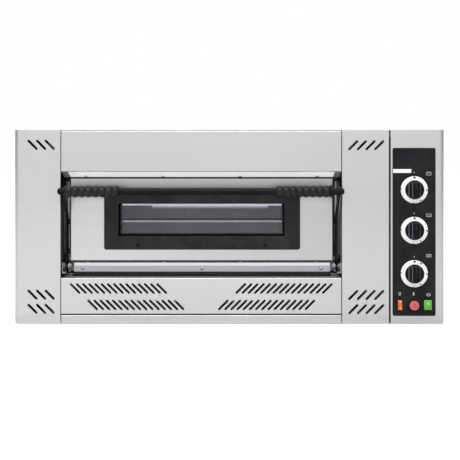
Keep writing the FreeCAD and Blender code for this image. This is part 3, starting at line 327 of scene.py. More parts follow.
def plastic(name, base, rough=0.28, sss=0.0, emit=0.0, vary=0.12, coat=0.2, top_highlight=None):
    m = Mat(name)
    co = m.coord()
    c = m.noise(co, 60.0, 4.0, 0.55, 0.4)
    col = m.mix(m.maprange(c, 0.35, 0.7, 0, 1), tuple(x * (1 - vary) for x in base),
                tuple(min(1, x * (1 + vary)) for x in base))
    if top_highlight is not None:
        # painted highlight: the colour turns lighter towards the top
        z = m.n("ShaderNodeSeparateXYZ", {"Vector": co}).outputs[2]
        w = m.maprange(z, top_highlight[0], top_highlight[1], 0, 1)
        col = m.mix(w, col, top_highlight[2])
    f = m.noise(co, 1500.0, 2.0)
    kw = dict(Base_Color=col, Roughness=m.math("ADD", rough - 0.03, m.math("MULTIPLY", f, 0.06)),
              Normal=m.bump(f, 0.00004, 0.25, m.bevel(0.0006)), Coat_Weight=coat, Coat_Roughness=0.12)
    if sss:
        kw.update(Subsurface_Weight=sss, Subsurface_Radius=(0.004, 0.002, 0.001), Subsurface_Scale=1.0)
    b = m.bsdf(**{k: v for k, v in kw.items() if k != "Subsurface_Radius"})
    if sss:
        b.inputs["Subsurface Radius"].default_value = (0.004, 0.002, 0.001)
    if emit:
        m.set(b, "Emission Color", col)
        m.set(b, "Emission Strength", emit)
    return m.m


def stone_mat(name):
    m = Mat(name)
    co = m.coord()
    big = m.noise(m.mapping(co, (5, 5, 5)), 1.0, 6.0, 0.65, 0.4)
    med = m.noise(co, 60.0, 5.0, 0.6)
    pits = m.voronoi(co, 420.0)
    speck = m.noise(co, 900.0, 2.0, 0.7)
    col = m.mix(m.maprange(med, 0.3, 0.7, 0, 1), (0.47, 0.455, 0.45), (0.61, 0.595, 0.59))
    col = m.mix(m.maprange(speck, 0.62, 0.72, 0, 0.8), col, (0.20, 0.185, 0.18))
    col = m.mix(m.maprange(big, 0.55, 0.75, 0, 0.5), col, (0.27, 0.24, 0.22))
    h = m.math("ADD", m.math("MULTIPLY", med, 0.4), m.math("MULTIPLY", m.maprange(pits, 0.0, 0.35, 0, 1), 0.6))
    m.bsdf(Base_Color=col, Roughness=0.85, Normal=m.bump(h, 0.0004, 0.6, m.bevel(0.0012)))
    return m.m


def wool_mat(name):
    m = Mat(name)
    co = m.coord()
    a = m.noise(m.mapping(co, (900, 300, 900)), 1.0, 4.0, 0.7, 1.5)
    b = m.noise(co, 40.0, 4.0)
    col = m.mix(a, (0.52, 0.46, 0.30), (0.78, 0.73, 0.56))
    col = m.mix(m.maprange(b, 0.4, 0.7, 0, 0.5), col, (0.60, 0.52, 0.36))
    m.bsdf(Base_Color=col, Roughness=0.95, Sheen_Weight=0.3, Normal=m.bump(a, 0.001, 0.8))
    return m.m


def rope_mat(name):
    m = Mat(name)
    co = m.coord()
    w = m.n("ShaderNodeTexWave", {"Vector": m.mapping(co, rot=(0, 0.78, 0)), "Scale": 260.0, "Distortion": 1.0,
                                  "Detail": 2.0}, wave_type="BANDS", bands_direction="X").outputs[1]
    n = m.noise(co, 500.0, 4.0)
    col = m.mix(w, (0.030, 0.030, 0.029), (0.095, 0.093, 0.088))
    col = m.mix(m.maprange(n, 0.5, 0.8, 0, 0.5), col, (0.16, 0.15, 0.14))
    m.bsdf(Base_Color=col, Roughness=0.9, Normal=m.bump(m.math("ADD", w, n), 0.0004, 0.7))
    return m.m


def glass_mat(name):
    """Toughened oven glass: clear with a grey cast, sharp surface reflections, faint baked-on haze."""
    m = Mat(name)
    co = m.coord()
    haze = m.noise(m.mapping(co, (9, 9, 16)), 1.0, 5.0, 0.6, 0.5)
    tr = m.n("ShaderNodeBsdfTransparent", {"Color": (0.815, 0.808, 0.835, 1)})
    gl = m.n("ShaderNodeBsdfGlossy", {"Color": (0.95, 0.97, 1.0, 1), "Roughness": 0.03})
    df = m.n("ShaderNodeBsdfDiffuse", {"Color": (0.30, 0.29, 0.28, 1)})
    fr = m.n("ShaderNodeFresnel", {"IOR": 1.45}).outputs[0]
    m1 = m.n("ShaderNodeMixShader", {"Fac": m.maprange(haze, 0.45, 0.8, 0.015, 0.07)})
    m.t.links.new(tr.outputs[0], m1.inputs[1])
    m.t.links.new(df.outputs[0], m1.inputs[2])
    m2 = m.n("ShaderNodeMixShader", {"Fac": m.math("MULTIPLY", fr, 0.8)})
    m.t.links.new(m1.outputs[0], m2.inputs[1])
    m.t.links.new(gl.outputs[0], m2.inputs[2])
    m.t.links.new(m2.outputs[0], m.out.inputs[0])
    return m.m


def brass_mat(name):
    m = Mat(name)
    co = m.coord()
    g = m.noise(m.mapping(co, (300, 300, 300)), 1.0, 4.0)
    t = m.noise(m.mapping(co, (40, 40, 40)), 1.0, 4.0)
    col = m.mix(m.maprange(t, 0.4, 0.7, 0, 1), (0.78, 0.60, 0.30), (0.52, 0.38, 0.18))
    m.bsdf(Base_Color=col, Metallic=1.0, Roughness=m.maprange(g, 0.3, 0.7, 0.24, 0.4),
           Normal=m.bump(g, 0.00006, 0.4, m.bevel(0.0005)))
    return m.m


def dial_mat(name):
    """White printed scale ring: matt white with very fine turned lines, darker along its edges."""
    m = Mat(name)
    co = m.coord()
    f = m.noise(co, 1400.0, 3.0)
    c = m.noise(co, 90.0, 4.0, 0.6, 0.4)
    col = m.mix(m.maprange(c, 0.35, 0.75, 0, 1), (0.88, 0.88, 0.885), (0.80, 0.80, 0.81))
    col = m.mix(m.math("MULTIPLY", m.edge(0.0006), 0.35, True), col, (0.62, 0.62, 0.63))
    m.bsdf(Base_Color=col, Roughness=0.42, Normal=m.bump(f, 0.00004, 0.3, m.bevel(0.0005)))
    return m.m


def ink_mat(name, base, rough=0.5):
    m = Mat(name)
    co = m.coord()
    f = m.noise(co, 2500.0, 3.0)
    c = m.noise(co, 200.0, 3.0)
    col = m.mix(m.maprange(m.math("ADD", f, c), 0.8, 1.3, 0, 1), tuple(min(1, x * 1.05) for x in base),
                tuple(x * 0.88 for x in base))
    m.bsdf(Base_Color=col, Roughness=rough, Normal=m.bump(f, 0.00002, 0.3))
    return m.m


def spill_mat(name, z0, z1, top, bottom, e0, e1):
    """Enamelled baffle with painted light: a colour ramp and emission stand in for the chamber lamp washing it from
    above.
    """
    m = Mat(name)
    co = m.coord()
    z = m.n("ShaderNodeSeparateXYZ", {"Vector": co}).outputs[2]
    k = m.maprange(z, z0, z1, 0.0, 1.0)
    k.node.interpolation_type = "SMOOTHSTEP"
    n = m.noise(m.mapping(co, (18, 18, 3)), 1.0, 3.0)
    col = m.mix(m.math("MULTIPLY", k, m.maprange(n, 0.3, 0.7, 0.85, 1.0)), bottom, top)
    b = m.bsdf(Base_Color=col, Metallic=0.4, Roughness=m.maprange(n, 0.2, 0.8, 0.4, 0.6))
    m.set(b, "Emission Color", col)
    m.set(b, "Emission Strength", m.maprange(k, 0, 1, e0, e1))
    return m.m


# painted shade: the unlit inside of the folded sheets, seen through slots and joints, and the shaded sides of the door
# recess; the recess sides also get painted reflections
DARK = (0.012, 0.012, 0.013)
INSIDE = dict(x=(-0.487, 0.487), y=(F + 0.0005, B - 0.003), z=(0.003, 0.4365))
DEEPER = dict(x=(-0.5012, 0.5012), y=(F + 0.0165, B - 0.003), z=(0.003, 0.4365))
# painted shade and painted reflections on the recess sides of the columns: dark and bright strips beside the door,
# light patches low down by the hinge
COLUMN_LIGHT_AND_SHADE = [
    (INSIDE, DARK, 0.0),
    (DEEPER, DARK, 0.0),
    (dict(x=(CL - 0.002, CL + 0.001), y=(F + 0.003, F + 0.031), z=(0.143, 0.318)), (0.060, 0.044, 0.037), 0.9),
    (dict(x=(CL - 0.002, CL + 0.001), y=(F + 0.0315, F + 0.0430), z=(0.160, 0.292)), (0.93, 0.91, 0.89), 0.9),
    (dict(x=(CL - 0.002, CL + 0.001), y=(F + 0.010, F + 0.030), z=(0.1155, 0.141)), (0.66, 0.65, 0.66), 0.9),
    (dict(x=(CR - 0.001, CR + 0.002), y=(F + 0.004, F + 0.022), z=(0.143, 0.318)), (0.24, 0.21, 0.20), 0.9),
    (dict(x=(CR - 0.001, CR + 0.002), y=(F + 0.022, F + 0.060), z=(0.158, 0.318)), (0.82, 0.75, 0.70), 0.9),
    (dict(x=(CR - 0.001, CR + 0.002), y=(F + 0.004, F + 0.040), z=(0.1155, 0.141)), (0.78, 0.76, 0.77), 0.9),
]
# painted shade and a painted highlight strip on the front frame beside the door edges, painted shade along its top
# under the hood, and a grey band along its bottom
FRAME_LIGHT_AND_SHADE = [
    (dict(u=(0.3100, 0.3194), z=(0.146, 0.345)), (0.030, 0.030, 0.032), 0.6),
    (dict(u=(0.3194, 0.3228), z=(0.146, 0.345)), (0.90, 0.88, 0.87), 0.8),
    (dict(u=(0.3228, 0.3262), z=(0.146, 0.345)), (0.050, 0.048, 0.048), 0.6),
    (dict(u=(0.3262, 0.340), z=(0.146, 0.345)), (0.34, 0.31, 0.29), 0.6),
    (dict(z=(0.3300, 0.3480)), (0.018, 0.018, 0.020), 0.6),
    (dict(z=(0.1340, 0.1455)), (0.16, 0.16, 0.165), 0.6),
]
# painted light on the hood lip: a bright strip, with painted shade bands and dark lines at its corners
LIP_LIGHT_AND_SHADE = [
    (INSIDE, DARK, 0.0),
    (dict(y=(F + 0.0006, F + 0.032), z=(0.3400, 0.3560)), (0.80, 0.79, 0.78), 0.0),
    (dict(u=(0.3115, 0.340), y=(F + 0.0006, F + 0.060), z=(0.3400, 0.3560)), (0.46, 0.45, 0.48), 0.8),
    (dict(u=(0.3150, 0.3168), y=(F + 0.0006, F + 0.060), z=(0.3400, 0.3560)), (0.04, 0.04, 0.045), 0.8),
    (dict(u=(0.3215, 0.3233), y=(F + 0.0006, F + 0.060), z=(0.3400, 0.3560)), (0.05, 0.05, 0.055), 0.8),
]
# painted shade inside the slots, and a flat mid-grey painted tone on the top return of the vent panel
VENT_SHADE = [
    (INSIDE, DARK, 0.0),
    (dict(y=(F + 0.0005, F + 0.060), z=(0.1060, 0.110)), (0.30, 0.30, 0.31), 0.7),
]

MATS = {
    "stop": spill_mat("stop_steel", 0.160, 0.172, (0.86, 0.85, 0.86), (0.74, 0.73, 0.74), 0.34, 0.62),
    "slot_shadow": powder("slot_shadow_dark", (0.006, 0.006, 0.006), 0.8, 0.1, 900.0, 0.05),
    "baffle": spill_mat("baffle_enamel", 0.2285, 0.2480, (0.44, 0.44, 0.45), (0.93, 0.93, 0.94), 1.35, 0.06),
    "spill": spill_mat("baffle_spill", 0.2075, 0.2216, (0.85, 0.85, 0.86), (0.40, 0.40, 0.42), 0.12, 1.0),
    "casing": steel("casing_stainless", rough=0.38, light_and_shade=[(INSIDE, DARK, 0.0), (DEEPER, DARK, 0.0)]),
    "column": steel("column_stainless", rough=0.38, low_shade=0.14, light_and_shade=COLUMN_LIGHT_AND_SHADE),
    "fascia": steel("fascia_stainless", rough=0.34, grain_amt=0.9, glow=(0.3412, 0.3552, (1.0, 0.98, 0.95), 0.55),
                    light_and_shade=LIP_LIGHT_AND_SHADE),
    "vents": steel("vent_stainless", rough=0.36, grain_amt=0.9, light_and_shade=VENT_SHADE),
    # painted shade on the door: shadow bands under the hood and under the handle bar, and darker towards the lower
    # right
    "door": steel("door_stainless", base=(0.764, 0.762, 0.765), rough=0.36, cloud=0.05, fall=(-0.28, 0.26, 0.26),
                  shadow_bands=((0.312, 0.3175, 0.345, 0.35, 0.36), (0.284, 0.294, 0.298, 0.312, 0.22))),
    "rail": steel("rail_stainless", base=(0.70, 0.695, 0.71), rough=0.40),
    "inner": steel("inner_stainless", base=(0.62, 0.62, 0.62), rough=0.34, cloud=0.06, smudge=0.1),
    "frame": steel("frame_stainless", base=(0.72, 0.71, 0.71), rough=0.34, cloud=0.06, smudge=0.1, light_and_shade=FRAME_LIGHT_AND_SHADE),
    "polished": polished("sill_polished", toe=0.1153, upright=0.1290),
    "screw": polished("screw_steel", (0.70, 0.70, 0.71), 0.24),
    "bracket": polished("bracket_plated", (0.30, 0.30, 0.31), 0.32, toe=0.1168),
    "pin": polished("pin_plated", (0.42, 0.42, 0.43), 0.30),
    "galv": galvanised("galvanised_sheet"),
    "liner": heat_steel("liner_heat_dulled", (0.50, 0.495, 0.50), (0.40, 0.37, 0.35)),
    "burner": heat_steel("burner_heat_blued", (0.34, 0.34, 0.36), (0.30, 0.22, 0.16), 0.45, 14.0),
    # the reveals of the window opening get painted shade
    "black_paint": powder("black_enamel", (0.0165, 0.0165, 0.018), 0.42, 0.30, 1500.0, 0.14,
                          shade_zones=[dict(x=(CX - 0.1955, CX + 0.1955), z=(0.2035, 0.2090)),
                                dict(x=(CX - 0.1955, CX - 0.1910), z=(0.2035, 0.2800)),
                                dict(x=(CX + 0.1915, CX + 0.1950), z=(0.2035, 0.2800))]),
    "black_bar": powder("black_bar_coat", (0.004, 0.004, 0.0045), 0.36, 0.20, 1200.0, 0.12),
    "arm": powder("arm_black_coat", (0.0045, 0.0045, 0.005), 0.48, 0.12, 1400.0, 0.10),
    "bead": powder("bead_phenolic", (0.009, 0.009, 0.010), 0.34, 0.20, 700.0, 0.26),
    "black_plastic": powder("switch_black", (0.004, 0.004, 0.005), 0.34, 0.4, 2200.0, 0.2),
    "knob": powder("knob_black", (0.003, 0.003, 0.0035), 0.45, 0.55, 2200.0, 0.10, rub_and_highlight=0.22, sheen_lines=(
        (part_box("knob_upper")[0].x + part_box("knob_upper")[1].x) / 2,
        ((-0.0165, -0.0112, 0.002, 0.50), (-0.0094, -0.0076, 0.0006, 0.75), (0.0085, 0.0145, 0.0026, 0.34)))),
    "panel": powder("panel_overlay", (0.013, 0.013, 0.014), 0.46, 0.15, 2600.0, 0.08),
    "dial": dial_mat("dial_white"),
    "gland": powder("gland_black", (0.012, 0.012, 0.013), 0.4, 0.3, 1800.0, 0.25),
    "orange": plastic("lens_orange", (0.62, 0.125, 0.004), 0.22, sss=0.12, emit=0.10, vary=0.35,
                      top_highlight=(0.044, 0.060, (0.88, 0.30, 0.03))),
    "green": plastic("lens_green", (0.075, 0.31, 0.035), 0.22, sss=0.15, emit=0.08, vary=0.35,
                     top_highlight=(0.034, 0.058, (0.15, 0.50, 0.055))),
    "red": plastic("button_red", (0.56, 0.050, 0.058), 0.30, sss=0.12, emit=0.03),
    "red_light": plastic("button_pink", (0.76, 0.21, 0.21), 0.34, emit=0.04),
    "lens_spark": plastic("lens_highlight", (0.80, 0.86, 0.62), 0.3, emit=0.05),
    "glass": glass_mat("oven_glass"),
    "rope": rope_mat("rope_seal"),
    "wool": wool_mat("mineral_wool"),
    "stone": stone_mat("refractory_stone"),
    "brass": brass_mat("machined_brass"),
    "cream": plastic("cream_ceramic", (0.78, 0.74, 0.64), 0.4, vary=0.06),
    "ink": ink_mat("ink_white", (0.86, 0.86, 0.87)),
    "ink_grey": ink_mat("ink_grey", (0.50, 0.50, 0.51)),
    "ink_dim": ink_mat("ink_dim", (0.60, 0.60, 0.61)),
    "ink_black": ink_mat("ink_black", (0.015, 0.015, 0.016), 0.4),
    "badge": powder("badge_blue_black", (0.0115, 0.0115, 0.0155), 0.5, 0.1, 2600.0, 0.08),
}

USE = {
    "left_side_panel": "column", "right_front_column": "column", "control_box_cover": "column",
    "top_cover": "casing", "upper_fascia": "fascia", "vent_panel": "vents", "bottom_rail": "rail",
    "rear_panel": "galv", "base_tray": "galv", "front_frame": "frame", "hinge_rail": "polished",
    "hinge_brackets": "bracket", "hinge_pins": "pin", "chamber_liner": "liner", "deck_stones": "stone",
    "stone_supports": "liner", "burner_floor": "liner", "lower_burners": "burner", "upper_burners": "burner",
    "upper_burner_box": "liner", "insulation_blankets": "wool", "flue_plenum": "galv", "flue_spigot": "galv",
    "partition_panel": "galv", "lamp_housing": "galv", "lamp_lens": "glass", "gas_manifolds": "galv",
    "gas_injectors": "brass", "gas_valves": "brass", "gas_supply_pipe": "galv", "gas_inlet_nipple": "brass",
    "thermostat_body": "cream", "spark_generator": "cream", "terminal_block": "cream",
    "control_panel": "panel", "lamp_switch_body": "black_plastic", "power_switch_body": "black_plastic",
    "button_body": "black_plastic", "casing_screws": "screw", "lamp_rocker": "orange", "power_rocker": "green",
    "ignition_button": "red", "knob_upper": "knob", "knob_lower": "knob",
    "knob_thermostat": "knob", "dial_upper": "dial", "dial_lower": "dial", "dial_thermostat": "dial",
    "door_skin": "door", "door_inner_panel": "inner", "door_insulation": "wool", "window_frame": "black_paint",
    "window_glass": "glass", "window_gasket": "rope", "door_gasket": "rope", "door_arms": "arm",
    "handle_bar": "black_bar", "grip_beads": "bead", "handle_end_nuts": "black_bar", "door_screws": "arm",
}
for n, o in NODES.items():
    mat = MATS[USE[n]]
    if not o.data.materials:
        o.data.materials.append(mat)
    for i in range(len(o.material_slots)):
        o.material_slots[i].link = "DATA"
        o.material_slots[i].material = mat
    for p in o.data.polygons:
        p.use_smooth = True


def smooth_by_angle(o, deg=32):
    """Hard edges stay sharp, small turned facets shade smooth."""
    me = o.data
    bm = bmesh.new()
    bm.from_mesh(me)
    for e in bm.edges:
        if len(e.link_faces) == 2:
            e.smooth = e.calc_face_angle(0) < math.radians(deg)
        else:
            e.smooth = False
    flags = [e.smooth for e in bm.edges]
    bm.free()
    for e, s in zip(me.edges, flags):
        e.use_edge_sharp = not s


# =====================================================================================
# piece helpers
# =====================================================================================
def add(name, me, mat, body, smooth=None):
    o = bpy.data.objects.new(name, me)
    scene.collection.objects.link(o)
    me.materials.append(MATS[mat])
    if smooth is not None:
        for p in me.polygons:
            p.use_smooth = True
        smooth_by_angle(o, smooth)
    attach(o, body)
    return o


def flat(name, loops, y0, y1, mat, body, bevel=0.0):
    """Closed outlines in the XZ plane (holes allowed) made into a thin plate between y0 and y1."""
    cu = bpy.data.curves.new(name + "_c", "CURVE")
    cu.dimensions = "2D"
    cu.fill_mode = "BOTH"
    cu.extrude = max(1e-6, abs(y1 - y0) / 2 - bevel)
    cu.bevel_depth = bevel
    cu.bevel_resolution = 1
    cu.offset = -bevel
    for lp in loops:
        sp = cu.splines.new("POLY")
        sp.points.add(len(lp) - 1)
        for p, (x, z) in zip(sp.points, lp):
            p.co = (x, z, 0, 1)
        sp.use_cyclic_u = True
    tmp = bpy.data.objects.new(name + "_t", cu)
    scene.collection.objects.link(tmp)
    dg = bpy.context.evaluated_depsgraph_get()
    me = bpy.data.meshes.new_from_object(tmp.evaluated_get(dg))
    bpy.data.objects.remove(tmp)
    bpy.data.curves.remove(cu)
    me.transform(Matrix(((1, 0, 0, 0), (0, 0, -1, (y0 + y1) / 2), (0, 1, 0, 0), (0, 0, 0, 1))))
    bm = bmesh.new()
    bm.from_mesh(me)
    bmesh.ops.remove_doubles(bm, verts=bm.verts, dist=1e-7)
    bmesh.ops.recalc_face_normals(bm, faces=bm.faces)
    bm.to_mesh(me)
    bm.free()
    me.materials.clear()
    me.name = name
    return add(name, me, mat, body, 30)


def rrect(x0, x1, z0, z1, r, n=6):
    pts = []
    for cx, cz, a0 in ((x1 - r, z1 - r, 0), (x0 + r, z1 - r, 90), (x0 + r, z0 + r, 180), (x1 - r, z0 + r, 270)):
        for i in range(n + 1):
            a = math.radians(a0 + 90 * i / n)
            pts.append((cx + r * math.cos(a), cz + r * math.sin(a)))
    return pts


def circ(cx, cz, r, n=40, a0=0.0):
    return [(cx + r * math.cos(a0 + 2 * math.pi * i / n), cz + r * math.sin(a0 + 2 * math.pi * i / n)) for i in range(n)]


def lathe(name, prof, origin, axis, mat, body, segs=72, angle=35, closed=False):
    """Turned piece: prof is a list of (distance along axis, radius)."""
    ax = Vector(axis).normalized()
    u = ax.orthogonal().normalized()
    v = ax.cross(u)
    bm = bmesh.new()
    rings = []
    for a, r in prof:
        c = Vector(origin) + ax * a
        if r < 1e-7:
            rings.append([bm.verts.new(c)])
        else:
            rings.append([bm.verts.new(c + (u * math.cos(2 * math.pi * k / segs) + v * math.sin(2 * math.pi * k / segs)) * r)
                          for k in range(segs)])
    pairs = list(zip(rings, rings[1:]))
    if closed:
        pairs.append((rings[-1], rings[0]))
    for a, b in pairs:
        for k in range(segs):
            k2 = (k + 1) % segs
            if len(a) == 1 and len(b) == 1:
                continue
            if len(a) == 1:
                bm.faces.new((a[0], b[k], b[k2]))
            elif len(b) == 1:
                bm.faces.new((a[k], b[0], a[k2]))
            else:
                bm.faces.new((a[k], b[k], b[k2], a[k2]))
    if not closed:
        for rg in (rings[0], rings[-1]):
            if len(rg) > 1:
                bm.faces.new(rg)
    bmesh.ops.recalc_face_normals(bm, faces=bm.faces)
    me = bpy.data.meshes.new(name)
    bm.to_mesh(me)
    bm.free()
    return add(name, me, mat, body, angle)


def tube_path(name, pts, r, mat, body, segs=16, res=10):
    """Round rod or cable along a smooth path."""
    cu = bpy.data.curves.new(name + "_c", "CURVE")
    cu.dimensions = "3D"
    cu.bevel_depth = r
    cu.bevel_resolution = max(2, segs // 4)
    cu.use_fill_caps = True
    sp = cu.splines.new("BEZIER")
    sp.bezier_points.add(len(pts) - 1)
    for b, p in zip(sp.bezier_points, pts):
        b.co = p
        b.handle_left_type = b.handle_right_type = "AUTO"
    cu.resolution_u = res
    tmp = bpy.data.objects.new(name + "_t", cu)
    scene.collection.objects.link(tmp)
    dg = bpy.context.evaluated_depsgraph_get()
    me = bpy.data.meshes.new_from_object(tmp.evaluated_get(dg))
    bpy.data.objects.remove(tmp)
    bpy.data.curves.remove(cu)
    me.materials.clear()
    me.name = name
    return add(name, me, mat, body, 50)


for n, o in NODES.items():
    smooth_by_angle(o, 32)

# =====================================================================================
# control panel graphics, all generic
# =====================================================================================
plo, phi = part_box("control_panel")
PY = plo.y                                   # front face of the panel
y_a, y_b = PY - 0.00014, PY - 0.00001
klo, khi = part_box("knob_upper")
KX = (klo.x + khi.x) / 2
KZ = {}
for k in ("upper", "lower", "thermostat"):
    a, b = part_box("knob_" + k)
    KZ[k] = (a.z + b.z) / 2

# badge blank and the plain white bar
flat("badge_blank", [rrect(0.4045, 0.4534, 0.3798, 0.4019, 0.0012)], PY - 0.0006, PY - 0.00002, "badge", "casing", 0.0002)
flat("panel_bar", [rrect(plo.x + 0.0008, plo.x + 0.043, 0.3522, 0.3610, 0.0006)], y_a, y_b, "ink", "casing")
# pointer marks over each dial
for k in KZ:
    z = KZ[k] + 0.0385 + (0.0006 if k == "upper" else 0)
    flat("pointer_" + k, [rrect(KX - 0.0011, KX + 0.0011, z, z + 0.0022, 0.0004)], y_a, y_b, "ink_grey", "casing")


def pictogram(name, x, z, w, h, kind):
    """Small oven outline with a heat bar at the top, the bottom or both."""
    t = 0.00075
    flat(name, [rrect(x - w / 2, x + w / 2, z - h / 2, z + h / 2, 0.0006),
                rrect(x - w / 2 + t, x + w / 2 - t, z - h / 2 + t, z + h / 2 - t, 0.0003)], y_a, y_b, "ink_dim", "casing")
    for tag, zz in (("a", z + h * 0.20), ("b", z - h * 0.20)):
        if (kind == "top" and tag == "b") or (kind == "bottom" and tag == "a"):
            continue
        flat(name + "_bar_" + tag, [rrect(x - w * 0.26, x + w * 0.26, zz - 0.0004, zz + 0.0004, 0.0002)],
             y_a, y_b, "ink_dim", "casing")


pictogram("pictogram_upper", 0.4641, 0.3505, 0.0112, 0.0072, "top")
pictogram("pictogram_lower", 0.4641, 0.2535, 0.0116, 0.0070, "bottom")
pictogram("pictogram_thermostat", 0.4641, 0.1596, 0.0116, 0.0066, "full")

SZ = 0.0710
# lamp
lx = 0.3964
flat("icon_lamp", [circ(lx, SZ + 0.0006, 0.0027, 28), circ(lx, SZ + 0.0006, 0.0020, 28)], y_a, y_b, "ink", "casing")
flat("icon_lamp_base", [rrect(lx - 0.0011, lx + 0.0011, SZ - 0.0042, SZ - 0.0026, 0.0003)], y_a, y_b, "ink", "casing")
# flame
fx = KX - 0.0012
fl = [(0.0, 0.0048), (0.0009, 0.0026), (0.0015, 0.0006), (0.0016, -0.0018), (0.0009, -0.0038), (-0.0003, -0.0042),
      (-0.0013, -0.0032), (-0.0017, -0.0012), (-0.0013, 0.0004), (-0.0008, 0.0010), (-0.0005, 0.0026)]
fi = [(0.0001, 0.0010), (0.0007, -0.0006), (0.0008, -0.0020), (0.0003, -0.0032), (-0.0006, -0.0030), (-0.0010, -0.0016),
      (-0.0006, -0.0006)]
flat("icon_flame", [[(fx + a, SZ + b) for a, b in fl], [(fx + a, SZ + b) for a, b in fi]], y_a, y_b, "ink", "casing")
# oval for power
ox = 0.4635
ov = lambda r1, r2: [(ox + r1 * math.cos(2 * math.pi * i / 32), SZ - 0.0026 + r2 * math.sin(2 * math.pi * i / 32)) for i in range(32)]
flat("icon_power", [ov(0.0046, 0.0032), ov(0.0037, 0.0023)], y_a, y_b, "ink", "casing")

# dial prints: index dots and a fine line, turning with each knob
for k in KZ:
    body = "knob_" + k
    z0 = KZ[k]
    dlo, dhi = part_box("dial_" + k)
    dots = [90, 0, 300] + ([58] if k == "thermostat" else [])
    for i, deg in enumerate(dots):
        a = math.radians(deg)
        cx, cz = KX + 0.0284 * math.cos(a), z0 + 0.0284 * math.sin(a)
        rr = 0.0026 if deg == 90 else 0.0022 if deg == 58 else 0.0017
        lathe("dial_dot_%s_%d" % (k, i), [(0, 0.0), (0, rr), (-0.00102, rr), (-0.00112, rr * 0.92), (-0.00112, 0.0)],
              (cx, dhi.y - 0.0026, cz), (0, 1, 0), "ink_black", body, 20)
    for i, deg in enumerate((176, 266, 356)):
        a = math.radians(deg)
        cx, cz = KX + 0.0304 * math.cos(a), z0 + 0.0304 * math.sin(a)
        lathe("dial_notch_%s_%d" % (k, i), [(0, 0.0), (0, 0.0012), (-0.0031, 0.0012), (-0.0032, 0.0010), (-0.0032, 0.0)],
              (cx, dhi.y - 0.0001, cz), (0, 1, 0), "ink_black", body, 18)
    # fine grey scale line, sitting in the cone of the ring
    r0, r1 = 0.0272, 0.0276
    yy = lambda r: dhi.y - 0.0042 + (r - 0.0221) / (0.0306 - 0.0221) * 0.0010
    lathe("dial_line_" + k, [(yy(r0) - 0.00005, r0), (yy(r1) - 0.00005, r1), (yy(r1) + 0.0004, r1), (yy(r0) + 0.0004, r0)],
          (KX, 0, z0), (0, 1, 0), "ink_grey", body, 96, closed=True)

# button rings and lens catch lights
blo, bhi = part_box("ignition_button")
BX, BZ = (blo.x + bhi.x) / 2, (blo.z + bhi.z) / 2
for nm, r0, r1 in (("outer", 0.0084, 0.0101), ("mid", 0.0048, 0.0062), ("centre", 0.0, 0.0013)):
    prof = [(-0.00012, r0), (-0.00012, r1), (0.0004, r1), (0.0004, r0)]
    if r0 == 0.0:
        prof = [(-0.00012, 0.0), (-0.00012, r1), (0.0004, r1), (0.0004, 0.0)]
    lathe("button_ring_" + nm, prof, (BX, blo.y, BZ), (0, 1, 0), "red_light", "ignition_button", 64, closed=(r0 > 0))

for tag, nd, dx, dz, r0 in (("lamp_a", "lamp_rocker", 0.0006, 0.0078, 0.0011), ("lamp_b", "lamp_rocker", 0.0004, -0.0066, 0.0009),
                            ("power_a", "power_rocker", -0.0004, 0.0046, 0.0015), ("power_b", "power_rocker", 0.0014, 0.0018, 0.0008)):
    a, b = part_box(nd)
    flat("lens_spot_" + tag, [circ((a.x + b.x) / 2 + dx, (a.z + b.z) / 2 + dz, r0, 20)], a.y - 0.0001, a.y + 0.0012,
         "lens_spark", nd, 0.00003)

# painted light behind the chamber glass: the pale rear baffle and the rear stop of the deck glow by emission; a
# near-black box paints the shade of the slot at the foot of the back wall
llo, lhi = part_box("chamber_liner")
CXM = (llo.x + lhi.x) / 2
slo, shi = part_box("deck_stones")
DECK = shi.z
YB = lhi.y - 0.0015


def boxes(name, items, mat, body="casing", bev=0.0006):
    bm = bmesh.new()
    for x0, x1, y0, y1, z0, z1 in items:
        vs = [bm.verts.new((x, y, z)) for z in (z0, z1) for y in (y0, y1) for x in (x0, x1)]
        for f in ((0, 2, 3, 1), (4, 5, 7, 6), (0, 1, 5, 4), (2, 6, 7, 3), (0, 4, 6, 2), (1, 3, 7, 5)):
            bm.faces.new([vs[i] for i in f])
    if bev:
        bmesh.ops.bevel(bm, geom=list(bm.edges), offset=bev, segments=2, profile=0.5, affect="EDGES")
    bmesh.ops.recalc_face_normals(bm, faces=bm.faces)
    me = bpy.data.meshes.new(name)
    bm.to_mesh(me)
    bm.free()
    return add(name, me, mat, body, smooth=30)


boxes("chamber_rear_stop", [(CXM - 0.302, CXM + 0.302, YB - 0.0150, YB - 0.0090, DECK + 0.0004, DECK + 0.0060)], "stop")
# painted shade: a near-black box for the shaded slot behind the deck stop
boxes("chamber_rear_slot", [(CXM - 0.302, CXM + 0.302, YB - 0.0040, YB - 0.0012, DECK + 0.0004, DECK + 0.0125)], "slot_shadow", bev=0.0004)
boxes("chamber_light_baffle", [(CXM - 0.300, CXM + 0.300, YB - 0.0060, YB - 0.0030, 0.2215, 0.3120)], "baffle")
flat("chamber_light_spill", [rrect(CXM - 0.197, CXM + 0.197, 0.2070, 0.2216, 0.001)], YB - 0.0034, YB - 0.0028, "spill", "casing")

